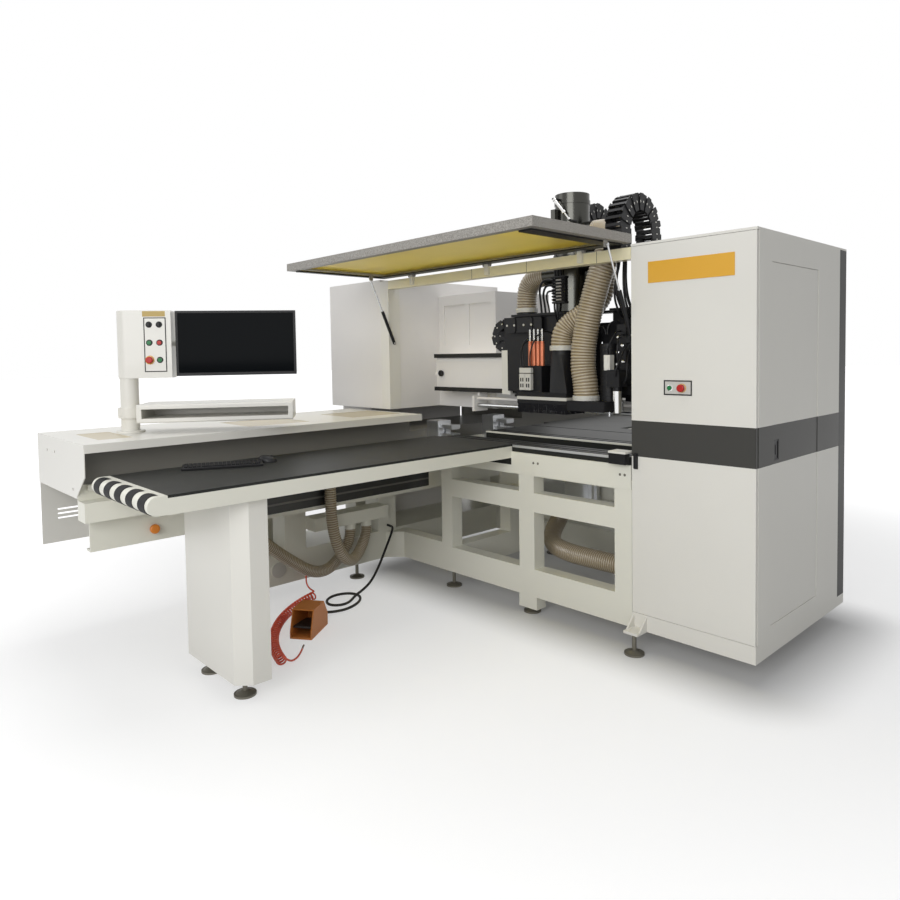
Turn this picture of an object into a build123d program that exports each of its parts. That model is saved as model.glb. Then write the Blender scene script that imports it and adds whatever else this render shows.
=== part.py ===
from build123d import *
import math
import os

# A six-sided panel drilling and milling centre, in mm.
# X runs right along the operator's front, Y to the back, Z up from the floor.
# Until the whole is centred at the end, the cabinet's front left edge stands at X = 0, Y = 0.

# Cabinet
CABINET_WIDTH = 630.0
CABINET_DEPTH = 1128.0
CABINET_TOP = 2050.0
PANEL_WALL = 18.0
SILL_TOP = 190.0
CAP_HEIGHT = 12.0
FRONT_DOOR_THICK = 16.0
SHELL_SETBACK = 22.0
DOOR_GAP = 2.0
SIDE_DOOR_NEAR = 159.0
SIDE_DOOR_FAR = 723.0
SIDE_DOOR_LOW = 243.0
SIDE_DOOR_HIGH = 1911.0
DOOR_PIN_R = 4.0
DOOR_PIN_LENGTH = 8.0

# Frame and tables
FLOOR_GAP = 107.0
FRAME_LENGTH = 1426.0
FRAME_PLATE = 90.0
FRAME_STILE = 96.0
FRAME_HEAD = 50.0
UPPER_WINDOW = 98.0
TABLE_HEIGHT = 982.0
TABLE_OVERHANG = 55.0
TABLE_WIDTH = 676.0
TABLE_REACH = 2022.0
TABLE_SKIN = 12.0
TABLE_DEPTH = 80.0
ROLLER_COUNT = 5
ROLLER_R = 40.0
ROLLER_WIDTH = 72.0
ROLLER_SHAFT_R = 6.0
LEG_INSET = 43.0
LEG_WIDTH = 539.0
LEG_FRONT = -1721.0
LEG_DEPTH = 150.0
LEG_CHAMFER = 60.0
LEG_GAP = 82.0
DECK_FRONT_DEPTH = 150.0
DECK_REAR_START = 430.0
DECK_THICK = 82.0
DECK_SEAT = 40.0

# Clamp beam, left of the tables
COVER_GAP = 105.0
COVER_WIDTH = 825.0
COVER_RISE = 139.0
COVER_SHEET = 4.0
COVER_LIP = 41.0
SKIRT_LOW = 500.0
BEAM_REACH = 2100.0
GIRDER_INSET = 134.0
GIRDER_WIDTH = 580.0
GIRDER_LOW = 580.0
GIRDER_RISE = 18.0
GIRDER_WALL = 10.0
BASE_INSET = 190.0
BASE_TOP = 300.0
BASE_REACH = 1300.0
RAIL_DEPTH = 23.0
RAIL_HALF = 14.0
CLAMP_RAIL_DROP = 82.0
CLAMP_DROP = 132.0
CLAMP_RISE = 78.0
CLAMP_LENGTH = 120.0
CLAMP_SPOTS = (200.0, 750.0)
JAW_GAP = 28.0

TRAY_RUN_WIDTH = 100.0
TRAY_RUN_DROP = 237.0
MANIFOLD_LOW = 420.0
FITTING_LOW = 380.0
FITTINGS_Y = (-300.0, -430.0)

# Gantry
OPENING_WIDTH = 1946.0
POST_WIDTH = 90.0
POST_DEPTH = 100.0
HOUSING_LEFT = -2670.0
HOUSING_GAP = 14.0
TOWER_RIGHT = -1370.0
TOWER_FRONT = 480.0
TOWER_BACK = 1060.0
TOWER_TOP = 1945.0
CROSS_FACE = 340.0
CROSS_LEFT = -1830.0
CROSS_LOW = 1255.0
CROSS_TOP = 1520.0
CROSS_RAILS_Z = (1270.0, 1505.0)
HOOD_BEAM_LOW = 1977.0
HOOD_BEAM_TOP = 2036.0
HOOD_BEAM_DEPTH = 60.0

# Hood and its gas struts
HOOD_LEFT = -2039.0
HOOD_RIGHT = -12.0
HOOD_FRONT = -742.0
HOOD_BACK = 30.0
HOOD_LOW = 2060.0
HOOD_THICK = 45.0
HOOD_RIM = 45.0
HOOD_GLASS = 4.0
HINGE_Y = -10.0
HINGE_Z = 2045.0
HINGE_SPOTS = (-1675.0, -980.0, -300.0)
HINGE_PIN_R = 5.0
STRUT_Y = 30.0
STRUT_Z = 1600.0
STRUT_PIN_R = 5.0
STRUT_EYE_Y = -170.0
STRUT_EYE_Z = 2036.0
STRUT_TUBE_R = 11.0
STRUT_TUBE_LENGTH = 240.0
STRUT_ROD_R = 5.0
STRUT_OFFSET = 21.0

# Upper head
CARRIAGE_LEFT = -1100.0
CARRIAGE_RIGHT = -60.0
CARRIAGE_FACE = 270.0
CARRIAGE_PLATE = 35.0
CARRIAGE_LOW = 1262.0
SHELF_LEFT = -1010.0
SHELF_Z = 1741.0
SHELF_THICK = 15.0
DUCT_X = -580.0
DUCT_Y = 300.0
DUCT_R = 100.0
DUCT_TOP = 2432.0
DUCT_WALL = 5.0
HEAD_FACE = 225.0
HEAD_LEFT = -1035.0
HEAD_LOW = 1280.0
HEAD_TOP = 1620.0
BOOT_LEFT = -800.0
BOOT_RIGHT = -440.0
BOOT_FRONT = 45.0
BOOT_BACK = 222.0
BOOT_LOW = 1245.0
BOOT_ROOF = 1290.0
BOOT_NECK = (-545.0, 145.0, 1545.0)
BRUSH_LENGTH = 76.0
BRUSH_BACKING = 10.0
BRISTLES_LONG = 100
BRISTLES_SHORT = 54
SHROUD_TOP = 1250.0
SHROUD_LEFT = -430.0
SHROUD_RIGHT = -190.0
SPINDLE = (-240.0, 165.0)
HOSE_R = 70.0
HOSE_WALL = 6.0
RIB_DEPTH = 5.0
SMALL_HOSE_R = 64.0

# Cable chains
CHAIN_HEIGHT = 60.0
CHAIN_WALL = 9.0
CHAIN_GAP = 0.6
ARCH_HEIGHT = 90.0

# Lower drilling unit
LOWER_BEAM_FACE = 560.0
LOWER_BEAM_DEPTH = 140.0
LOWER_BEAM_DROP = 100.0
LOWER_BEAM_HEIGHT = 200.0
LOWER_RAIL_INSET = 30.0
LOWER_LEFT = -950.0
LOWER_RIGHT = -550.0

# Console
CONSOLE_INSET = 300.0
CONSOLE_Y = -1738.0
CONSOLE_TURN = 56.0
POST_R = 47.5
BOX_RISE = 292.0
BOX_HEIGHT = 364.0
BOX_LENGTH = 235.0
BOX_HALF = 52.0
SPIGOT_R = 25.0
SPIGOT_HEIGHT = 60.0
ARM_R = 15.0
ARM_Y = 50.0
ARM_RISE = 479.0
SCREEN_LEFT = 250.0
SCREEN_WIDTH = 640.0
SCREEN_RISE = 299.0
SCREEN_HEIGHT = 355.0
TRAY_LEFT = 75.0
TRAY_RIGHT = 872.0
TRAY_FRONT = -170.0
TRAY_BACK = 130.0
TRAY_RISE = 59.0
TRAY_HEIGHT = 97.0
COLLAR_RISE = 92.0
COLUMN_A = 123.0
COLUMN_B = 175.0
ROW_RISES = (579.0, 482.0, 389.0)
BUTTON_R = 11.0
STOP_R = 18.0
BUTTON_STEM = 12.0
BUTTON_PROUD = 10.0
CABINET_BUTTONS_X = (214.0, 276.0)
CABINET_BUTTONS_Z = 1338.0

# Foot pedal
PEDAL_X = -1382.0
PEDAL_WIDTH = 124.0
PEDAL_FRONT = -1163.0
PEDAL_BACK = -930.0
PEDAL_HEIGHT = 150.0
PEDAL_WALL = 6.0
PEDAL_PIN_R = 4.0
PEDAL_TURN = 35.0

# Clearances
RUN = 0.08
SLIDE = 0.4
PAD_R = 50.0
STUD_R = 11.0

CABLE_R = 8.0
VACUUM_R = 36.0
AIR_R = 5.0
CURL_R = 23.0
COIL_CENTRE = (-872.0, -432.0)
COIL_SWEEP_R = 976.0
COIL_START = 199.0
COIL_END = 257.0
COIL_TURNS = 36
COIL_POINTS = 3

# Places that follow from the sizes above
TABLE_LOW = TABLE_HEIGHT - TABLE_DEPTH
TABLE_LEFT = -FRAME_LENGTH - TABLE_OVERHANG
TABLE_RIGHT = TABLE_LEFT + TABLE_WIDTH
LEG_RIGHT = TABLE_RIGHT - LEG_INSET
FRAME_TOP = TABLE_HEIGHT - DECK_THICK - DECK_SEAT
UPPER_WINDOW_TOP = FRAME_TOP - FRAME_HEAD
WINDOW_SPANS = ((FRAME_STILE - FRAME_LENGTH, -756.0), (-643.0, -102.0))
WINDOW_ROWS = ((268.0, 602.0), (UPPER_WINDOW_TOP - UPPER_WINDOW, UPPER_WINDOW_TOP))
COVER_RIGHT = TABLE_LEFT - COVER_GAP
COVER_LEFT = COVER_RIGHT - COVER_WIDTH
COVER_TOP = TABLE_HEIGHT + COVER_RISE
GIRDER_FACE = COVER_RIGHT - GIRDER_INSET
GIRDER_BACK = GIRDER_FACE - GIRDER_WIDTH
GIRDER_TOP = TABLE_HEIGHT + GIRDER_RISE
BASE_FACE = GIRDER_FACE - BASE_INSET
FITTING_X = BASE_FACE + 55.0
AIR_TAP = (BASE_FACE, -745.0, 190.0)
CLAMP_RAIL_Z = TABLE_HEIGHT - CLAMP_RAIL_DROP
CLAMP_LOW = TABLE_HEIGHT - CLAMP_DROP
CLAMP_TOP = TABLE_HEIGHT + CLAMP_RISE
TRAY_RUN_LOW = TABLE_HEIGHT - TRAY_RUN_DROP
HOUSING_LOW = COVER_TOP + HOUSING_GAP
LOWER_BEAM_TOP = FRAME_TOP - LOWER_BEAM_DROP
LOWER_BEAM_LOW = LOWER_BEAM_TOP - LOWER_BEAM_HEIGHT
LOWER_RAILS_Z = (LOWER_BEAM_LOW + LOWER_RAIL_INSET, LOWER_BEAM_TOP - LOWER_RAIL_INSET)
CONSOLE_X = GIRDER_FACE - CONSOLE_INSET
BOX_LOW = COVER_TOP + BOX_RISE
BOX_HIGH = BOX_LOW + BOX_HEIGHT
ARM_Z = COVER_TOP + ARM_RISE
SCREEN_LOW = COVER_TOP + SCREEN_RISE
SCREEN_HIGH = SCREEN_LOW + SCREEN_HEIGHT
TRAY_LOW = COVER_TOP + TRAY_RISE
TRAY_HIGH = TRAY_LOW + TRAY_HEIGHT
COLLAR_Z = COVER_TOP + COLLAR_RISE
ROW_Z = tuple(COVER_TOP + rise for rise in ROW_RISES)
SHELF_TOP = SHELF_Z + SHELF_THICK


def slab(x0, x1, y0, y1, z0, z1):
    middle = Pos((x0 + x1) / 2, (y0 + y1) / 2, (z0 + z1) / 2)
    return middle * Box(x1 - x0, y1 - y0, z1 - z0)


def rod(point, axis, radius, length):
    turn = {"X": Rot(0, 90, 0), "Y": Rot(-90, 0, 0), "Z": Rot(0, 0, 0)}[axis]
    foot = (Align.CENTER, Align.CENTER, Align.MIN)
    return Pos(*point) * turn * Cylinder(radius, length, align=foot)


def prism_x(points, low, high):
    plane = Plane(origin=(low, 0, 0), x_dir=(0, 1, 0), z_dir=(1, 0, 0))
    return extrude(plane * Polygon(*points, align=None), high - low, dir=(1, 0, 0))


def prism_y(points, low, high):
    plane = Plane(origin=(0, high, 0), x_dir=(1, 0, 0), z_dir=(0, -1, 0))
    return extrude(plane * Polygon(*points, align=None), high - low, dir=(0, -1, 0))


def prism_z(points, low, high):
    return extrude(Pos(0, 0, low) * Polygon(*points, align=None), high - low, dir=(0, 0, 1))


def to_rear(shape):
    return mirror(shape, about=Plane.XZ.offset(-CABINET_DEPTH / 2))


def group(shapes):
    return Compound(children=[solid for shape in shapes for solid in shape.solids()])


def at_console(shape):
    return Pos(CONSOLE_X, CONSOLE_Y, 0) * Rot(0, 0, CONSOLE_TURN) * shape


# Frame

def end_tie(x0, x1):
    far = CABINET_DEPTH - FRAME_PLATE
    low = slab(x0, x1, FRAME_PLATE, far, FLOOR_GAP, WINDOW_ROWS[0][0])
    high = slab(x0, x1, FRAME_PLATE, far, WINDOW_ROWS[1][1], FRAME_TOP)
    back = LOWER_BEAM_FACE + LOWER_BEAM_DEPTH
    upright = slab(x0, x1, LOWER_BEAM_FACE, back, FLOOR_GAP, FRAME_TOP)
    return low + high + upright


def main_frame():
    plate = slab(-FRAME_LENGTH, 0, 0, FRAME_PLATE, FLOOR_GAP, FRAME_TOP)
    for x0, x1 in WINDOW_SPANS:
        for z0, z1 in WINDOW_ROWS:
            plate -= slab(x0, x1, -1, FRAME_PLATE + 1, z0, z1)
    column = (WINDOW_SPANS[0][1] - 10, WINDOW_SPANS[1][0] + 10)
    plate += slab(*column, 5, FRAME_PLATE - 5, 30, FLOOR_GAP)
    left = WINDOW_SPANS[0][0]
    right = WINDOW_SPANS[1][1]
    frame = plate + to_rear(plate) + end_tie(-FRAME_LENGTH, left) + end_tie(right, 0)
    back = LOWER_BEAM_FACE + LOWER_BEAM_DEPTH
    frame += slab(left, right, LOWER_BEAM_FACE, back, LOWER_BEAM_LOW, LOWER_BEAM_TOP)
    for z in LOWER_RAILS_Z:
        rail = slab(left, right, LOWER_BEAM_FACE - RAIL_DEPTH, LOWER_BEAM_FACE, z - RAIL_HALF, z + RAIL_HALF)
        frame += rail
    apron = slab(TABLE_RIGHT, 0, -8, 0, WINDOW_ROWS[1][1] + 5, TABLE_HEIGHT - DECK_THICK + 40)
    tower = slab(right, 0, TOWER_FRONT, TOWER_BACK, FRAME_TOP, TOWER_TOP)
    hollow = slab(right + 10, -10, TOWER_FRONT + 10, TOWER_BACK + 1, DECK_TOP_CLEAR, TOWER_TOP - 10)
    return frame + apron + tower - hollow


DECK_TOP_CLEAR = TABLE_HEIGHT + 60.0


def inner_decks():
    low = TABLE_HEIGHT - DECK_THICK
    left = -FRAME_LENGTH
    right = WINDOW_SPANS[1][1]
    front = slab(left, -2, 0, DECK_FRONT_DEPTH, low, TABLE_HEIGHT)
    front += slab(left, -2, 0, FRAME_PLATE, FRAME_TOP, low)
    rear = slab(left, right - 2, DECK_REAR_START, CABINET_DEPTH, low, TABLE_HEIGHT)
    rear += slab(left, right - 2, CABINET_DEPTH - FRAME_PLATE, CABINET_DEPTH, FRAME_TOP, low)
    groove_depth = 6
    for y in (40, 100):
        front -= slab(left - 1, 0, y, y + 18, TABLE_HEIGHT - groove_depth, TABLE_HEIGHT + 1)
    for y in (460, 520, 900):
        rear -= slab(left - 1, right, y, y + 18, TABLE_HEIGHT - groove_depth, TABLE_HEIGHT + 1)
    return group([front, rear])


# Tables

def roller_centres():
    pitch = TABLE_WIDTH / ROLLER_COUNT
    return [TABLE_LEFT + pitch * (i + 0.5) for i in range(ROLLER_COUNT)]


ROLLER_Y = -TABLE_REACH - ROLLER_R - 2
ROLLER_Z = TABLE_HEIGHT - ROLLER_R


def table_frame(with_rollers):
    low = TABLE_LOW
    top = TABLE_HEIGHT - TABLE_SKIN
    tray = slab(TABLE_LEFT, TABLE_RIGHT, -TABLE_REACH, 0, low, top)
    nose_r = ROLLER_R - 2 if with_rollers else ROLLER_R
    nose = slab(TABLE_LEFT, TABLE_RIGHT, ROLLER_Y, -TABLE_REACH, ROLLER_Z - nose_r, ROLLER_Z + nose_r)
    nose += rod((TABLE_LEFT, ROLLER_Y, ROLLER_Z), "X", nose_r, TABLE_WIDTH)
    if with_rollers:
        pocket_r = ROLLER_R + 2
        for x in roller_centres():
            start = x - ROLLER_WIDTH / 2 - 1
            nose -= rod((start, ROLLER_Y, ROLLER_Z), "X", pocket_r, ROLLER_WIDTH + 2)
        nose -= rod((TABLE_LEFT + 10, ROLLER_Y, ROLLER_Z), "X", ROLLER_SHAFT_R + RUN, TABLE_WIDTH - 20)
    return tray + nose


def table_frames():
    return group([table_frame(True), to_rear(table_frame(False))])


def table_tops():
    top = slab(TABLE_LEFT, TABLE_RIGHT, -TABLE_REACH, 0, TABLE_HEIGHT - TABLE_SKIN, TABLE_HEIGHT)
    return group([top, to_rear(top)])


def end_rollers():
    start = TABLE_LEFT + 10 + SLIDE
    rollers = rod((start, ROLLER_Y, ROLLER_Z), "X", ROLLER_SHAFT_R, TABLE_WIDTH - 20 - 2 * SLIDE)
    for x in roller_centres():
        rollers += rod((x - ROLLER_WIDTH / 2, ROLLER_Y, ROLLER_Z), "X", ROLLER_R, ROLLER_WIDTH)
    return rollers


def table_leg():
    left = LEG_RIGHT - LEG_WIDTH
    back = LEG_FRONT + LEG_DEPTH
    outline = ((left, LEG_FRONT), (LEG_RIGHT - LEG_CHAMFER, LEG_FRONT), (LEG_RIGHT, LEG_FRONT + LEG_CHAMFER),
               (LEG_RIGHT, back), (left, back))
    leg = prism_z(outline, LEG_GAP, TABLE_LOW)
    wall = 6
    return leg - slab(left + wall, LEG_RIGHT - LEG_CHAMFER, LEG_FRONT + wall, back + 1,
                      LEG_GAP + 12, TABLE_LOW - 12)


def table_legs():
    return group([table_leg(), to_rear(table_leg())])


def levelling_foot(x, y, top):
    foot = rod((x, y, 0), "Z", PAD_R, 10)
    cone = Pos(x, y, 10) * Cone(PAD_R - 8, STUD_R + 5, 12, align=(Align.CENTER, Align.CENTER, Align.MIN))
    return foot + cone + rod((x, y, 22), "Z", STUD_R, top - 22)


def foot_spots():
    leg_y = LEG_FRONT + LEG_DEPTH / 2
    left = LEG_RIGHT - LEG_WIDTH
    legs = [(left + 90, leg_y, LEG_GAP), (LEG_RIGHT - 110, leg_y, LEG_GAP)]
    middle = (WINDOW_SPANS[0][1] + WINDOW_SPANS[1][0]) / 2
    front = [(CABINET_FOOT_X, -CABINET_FOOT_REACH, FLOOR_GAP), (middle, FRAME_PLATE / 2, 30),
             (-FRAME_LENGTH + 60, FRAME_PLATE / 2, FLOOR_GAP), (CABINET_WIDTH - 300, 420, FLOOR_GAP)]
    base = [(BASE_FACE - 60, -BASE_REACH + 90, FLOOR_GAP), (BASE_FACE - 60, -300, FLOOR_GAP),
            (GIRDER_BACK + 60, -BASE_REACH + 90, FLOOR_GAP), (HOUSING_LEFT + 90, 180, FLOOR_GAP)]
    return legs + front + base


CABINET_FOOT_X = 46.0
CABINET_FOOT_REACH = 54.0


def levelling_feet():
    feet = [levelling_foot(*spot) for spot in foot_spots()]
    return group(feet + [to_rear(foot) for foot in feet])


# Clamp beam

CAP_Y = -930.0


def base_rail():
    end = CABINET_DEPTH + BASE_REACH
    rail = slab(GIRDER_BACK, BASE_FACE, -BASE_REACH, end, FLOOR_GAP, BASE_TOP)
    for y in (-BASE_REACH, -880, -150):
        column = slab(BASE_FACE - 150, BASE_FACE, y, y + 150, BASE_TOP, GIRDER_LOW)
        column += slab(GIRDER_BACK, GIRDER_BACK + 120, y, y + 150, BASE_TOP, GIRDER_LOW)
        rail += column + to_rear(column)
    tie = slab(BASE_FACE, -FRAME_LENGTH, 0, FRAME_PLATE, FLOOR_GAP, BASE_TOP - 15)
    corner = 90
    brace = prism_z(((BASE_FACE, -corner), (BASE_FACE + corner, 0), (BASE_FACE, 0)), FLOOR_GAP, BASE_TOP - 15)
    manifold = slab(BASE_FACE - 20, FITTING_X + 50, -880 + 150, -150, MANIFOLD_LOW, MANIFOLD_LOW + 80)
    rail += tie + brace + to_rear(tie + brace) + manifold
    rail += rod((BASE_FACE, CAP_Y, (FLOOR_GAP + BASE_TOP) / 2), "X", 52, 6)
    for y in FITTINGS_Y:
        rail += rod((FITTING_X, y, FITTING_LOW), "Z", VACUUM_R, MANIFOLD_LOW - FITTING_LOW)
    return rail


END_OPEN_TOP = CLAMP_LOW


def beam_girder():
    near = -BEAM_REACH + COVER_SHEET
    far = CABINET_DEPTH + BEAM_REACH - COVER_SHEET
    girder = slab(GIRDER_BACK, GIRDER_FACE, near, far, GIRDER_LOW, GIRDER_TOP)
    girder -= slab(GIRDER_BACK + GIRDER_WALL, GIRDER_FACE - GIRDER_WALL, near - 1, far + 1,
                   GIRDER_LOW + GIRDER_WALL, GIRDER_TOP - GIRDER_WALL)
    girder += slab(GIRDER_FACE, GIRDER_FACE + RAIL_DEPTH, near + 40, far - 40,
                   CLAMP_RAIL_Z - RAIL_HALF, CLAMP_RAIL_Z + RAIL_HALF)
    tray = slab(GIRDER_FACE, GIRDER_FACE + TRAY_RUN_WIDTH, near, -20, TRAY_RUN_LOW, TRAY_RUN_LOW + 95)
    girder += tray + to_rear(tray)
    for y in (near, -1400, -700, -40):
        rib = slab(COVER_LEFT + COVER_SHEET, GIRDER_FACE - 10, y, y + 12, GIRDER_TOP, COVER_TOP - COVER_SHEET)
        rib += slab(COVER_LEFT + COVER_SHEET, GIRDER_BACK, y, y + 12, GIRDER_LOW + 40, GIRDER_TOP)
        girder += rib + to_rear(rib)
    closing = slab(GIRDER_FACE - GIRDER_WALL, GIRDER_FACE, near, -20, GIRDER_TOP, COVER_TOP - COVER_SHEET)
    girder += closing + to_rear(closing)
    opened = slab(COVER_LEFT + COVER_SHEET, GIRDER_FACE - 60, near - 1, near + 300,
                  GIRDER_LOW - 1, END_OPEN_TOP)
    opened += slab(GIRDER_FACE - 61, GIRDER_FACE + 1, near - 1, near + 46, GIRDER_LOW - 1, TRAY_RUN_LOW)
    return girder - opened - to_rear(opened)


PAD_SPOTS = ((-1985.0, -1820.0), (-1180.0, -780.0), (-460.0, -60.0))
PAD_LEFT = COVER_LEFT + 281.0
PAD_WIDTH = 380.0


def beam_cover():
    near = -BEAM_REACH + COVER_SHEET
    far = -20
    low = COVER_TOP - COVER_SHEET
    cover = slab(COVER_LEFT, COVER_RIGHT, near, far, low, COVER_TOP)
    cover += slab(COVER_RIGHT - COVER_SHEET, COVER_RIGHT, near, far, COVER_TOP - COVER_LIP, COVER_TOP)
    cover += slab(COVER_LEFT, COVER_LEFT + COVER_SHEET, near, far, SKIRT_LOW, COVER_TOP)
    for y0, y1 in PAD_SPOTS:
        cover -= slab(PAD_LEFT, PAD_LEFT + PAD_WIDTH, y0, y1, COVER_TOP - 1.5, COVER_TOP + 1)
    for z in (630, 655, 680):
        cover -= slab(COVER_LEFT - 1, COVER_LEFT + COVER_SHEET + 1, near + 80, near + 190, z, z + 9)
    return cover


def beam_covers():
    return group([beam_cover(), to_rear(beam_cover())])


PANEL_DROP = 271.0


def beam_end_panel():
    top = COVER_TOP
    low = top - PANEL_DROP
    outline = ((COVER_LEFT, low), (COVER_LEFT, top), (COVER_RIGHT, top), (COVER_RIGHT - 6, low + 115),
               (GIRDER_FACE, low + 12), (GIRDER_FACE, low))
    near = -BEAM_REACH
    panel = prism_y(outline, near, near + COVER_SHEET)
    for x, z in ((COVER_LEFT + 190, top - 76), (COVER_LEFT + 330, top - 76), (GIRDER_FACE - 60, low + 40)):
        panel -= rod((x, near - 1, z), "Y", 8, COVER_SHEET + 2)
    return panel


def beam_end_panels():
    return group([beam_end_panel(), to_rear(beam_end_panel())])


JAW_TIP = TABLE_LEFT - 9
CLAMP_FRONT = COVER_RIGHT - 19.0
LOWER_JAW_TOP = TABLE_HEIGHT - 4
JAW_HALF = 40.0
JAW_SLOT_HALF = 15.0
JAW_SLOT_DEPTH = 20.0


def clamp(y):
    half = CLAMP_LENGTH / 2
    body = slab(GIRDER_FACE + SLIDE, CLAMP_FRONT, y - half, y + half, CLAMP_LOW, CLAMP_TOP)
    body -= slab(GIRDER_FACE, GIRDER_FACE + RAIL_DEPTH + SLIDE, y - half - 1, y + half + 1,
                 CLAMP_RAIL_Z - RAIL_HALF - SLIDE, CLAMP_RAIL_Z + RAIL_HALF + SLIDE)
    body -= slab(CLAMP_FRONT - JAW_SLOT_DEPTH, CLAMP_FRONT + 1, y - JAW_SLOT_HALF, y + JAW_SLOT_HALF,
                 LOWER_JAW_TOP - 8, CLAMP_TOP + 1)
    return body + slab(CLAMP_FRONT, JAW_TIP, y - JAW_HALF, y + JAW_HALF, LOWER_JAW_TOP - 22, LOWER_JAW_TOP)


def clamp_jaw(y):
    low = LOWER_JAW_TOP + JAW_GAP
    half = JAW_SLOT_HALF - SLIDE
    tongue = slab(CLAMP_FRONT - JAW_SLOT_DEPTH + SLIDE, CLAMP_FRONT + 1, y - half, y + half, low, CLAMP_TOP)
    arm = slab(CLAMP_FRONT + SLIDE, JAW_TIP, y - JAW_HALF, y + JAW_HALF, low + 6, low + 30)
    pad = slab(JAW_TIP - 60, JAW_TIP, y - JAW_HALF + 6, y + JAW_HALF - 6, low, low + 6)
    return tongue + arm + pad


# Gantry

def left_housing():
    wall = 6
    right = -OPENING_WIDTH - 4
    shell = slab(HOUSING_LEFT, right, 0, CABINET_DEPTH, HOUSING_LOW, CABINET_TOP)
    shell -= slab(HOUSING_LEFT + wall, right - wall, wall, CABINET_DEPTH - wall,
                  HOUSING_LOW - 1, CABINET_TOP - wall)
    notch = -OPENING_WIDTH - POST_WIDTH
    shell += slab(notch - wall, right, POST_DEPTH, POST_DEPTH + wall, HOUSING_LOW, CABINET_TOP)
    shell += slab(notch - wall, notch, 0, POST_DEPTH + wall, HOUSING_LOW, CABINET_TOP)
    shell -= slab(notch, right + 1, -1, POST_DEPTH, HOUSING_LOW - 1, CABINET_TOP + 1)
    near = 100
    far = CABINET_DEPTH - near
    column = slab(HOUSING_LEFT, GIRDER_BACK, near, far, FLOOR_GAP, HOUSING_LOW)
    column -= slab(HOUSING_LEFT + wall, GIRDER_BACK - wall, near + wall, far - wall,
                   FLOOR_GAP + 12, HOUSING_LOW + 1)
    return shell + column


def left_tower():
    wall = 5
    left = -OPENING_WIDTH - 4
    tower = slab(left, TOWER_RIGHT, TOWER_FRONT, TOWER_BACK, HOUSING_LOW, TOWER_TOP)
    tower -= slab(left + wall, TOWER_RIGHT - wall, TOWER_FRONT + 3 * wall, TOWER_BACK - wall,
                  HOUSING_LOW - 1, TOWER_TOP - wall)
    for x0, x1 in ((left + 60, left + 280), (left + 320, TOWER_RIGHT - 50)):
        tower -= slab(x0, x1, TOWER_FRONT - 1, TOWER_FRONT + 8, CROSS_TOP + 60, TOWER_TOP - 70)
    return tower


def strut_stud(x0, x1):
    return rod((x0, STRUT_Y, STRUT_Z), "X", STRUT_PIN_R, x1 - x0)


LUG_HALF = 15.0
LUG_R = 9.0


def opening_frame():
    left = -OPENING_WIDTH
    post = slab(left - POST_WIDTH, left, 0, POST_DEPTH, HOUSING_LOW, HOOD_BEAM_TOP)
    beam = slab(left, 0, 0, HOOD_BEAM_DEPTH, HOOD_BEAM_LOW, HOOD_BEAM_TOP)
    frame = post + beam
    for x in HINGE_SPOTS:
        lug = slab(x - LUG_HALF, x + LUG_HALF, HINGE_Y - LUG_R, 0, HOOD_BEAM_LOW + 10, HINGE_Z)
        lug += rod((x - LUG_HALF, HINGE_Y, HINGE_Z), "X", LUG_R, 2 * LUG_HALF)
        frame += lug - rod((x - LUG_HALF - 1, HINGE_Y, HINGE_Z), "X", HINGE_PIN_R + RUN, 2 * LUG_HALF + 2)
    return frame + strut_stud(left, left + STRUT_OFFSET + 8)


PRESS_Y = 330.0
PRESS_Z = 1168.0
TIE_Z = 1215.0
PRESS_R = 14.0
PRESS_LEFT = -1400.0
PRESS_RIGHT = -60.0


def cross_beam():
    beam = slab(CROSS_LEFT, 0, CROSS_FACE, TOWER_FRONT, CROSS_LOW, CROSS_TOP)
    wall = 12
    beam -= slab(CROSS_LEFT + wall, 1, CROSS_FACE + wall, TOWER_FRONT - wall,
                 CROSS_LOW + wall, CROSS_TOP - wall)
    for z in CROSS_RAILS_Z:
        beam += slab(CROSS_LEFT, -6, CROSS_FACE - RAIL_DEPTH, CROSS_FACE, z - RAIL_HALF, z + RAIL_HALF)
    beam += rod((CROSS_LEFT - 14, CROSS_FACE + 20, 1375), "X", 20, 14)
    for x in (PRESS_LEFT - 20, PRESS_RIGHT):
        bracket = slab(x, x + 20, PRESS_Y - 40, PRESS_Y + 90, PRESS_Z - 40, CROSS_LOW)
        bracket -= slab(x - 1, x + 21, PRESS_Y - 41, CROSS_FACE, TIE_Z + 18, CROSS_LOW + 1)
        beam += bracket - rod((x - 1, PRESS_Y, PRESS_Z), "X", 6 + RUN, 22)
    return beam + rod((PRESS_LEFT, PRESS_Y, TIE_Z), "X", 10, PRESS_RIGHT - PRESS_LEFT)


def press_roller():
    drum = rod((PRESS_LEFT + SLIDE, PRESS_Y, PRESS_Z), "X", PRESS_R, PRESS_RIGHT - PRESS_LEFT - 2 * SLIDE)
    return drum + rod((PRESS_LEFT - 20, PRESS_Y, PRESS_Z), "X", 6, PRESS_RIGHT - PRESS_LEFT + 40)


# Hood

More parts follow.
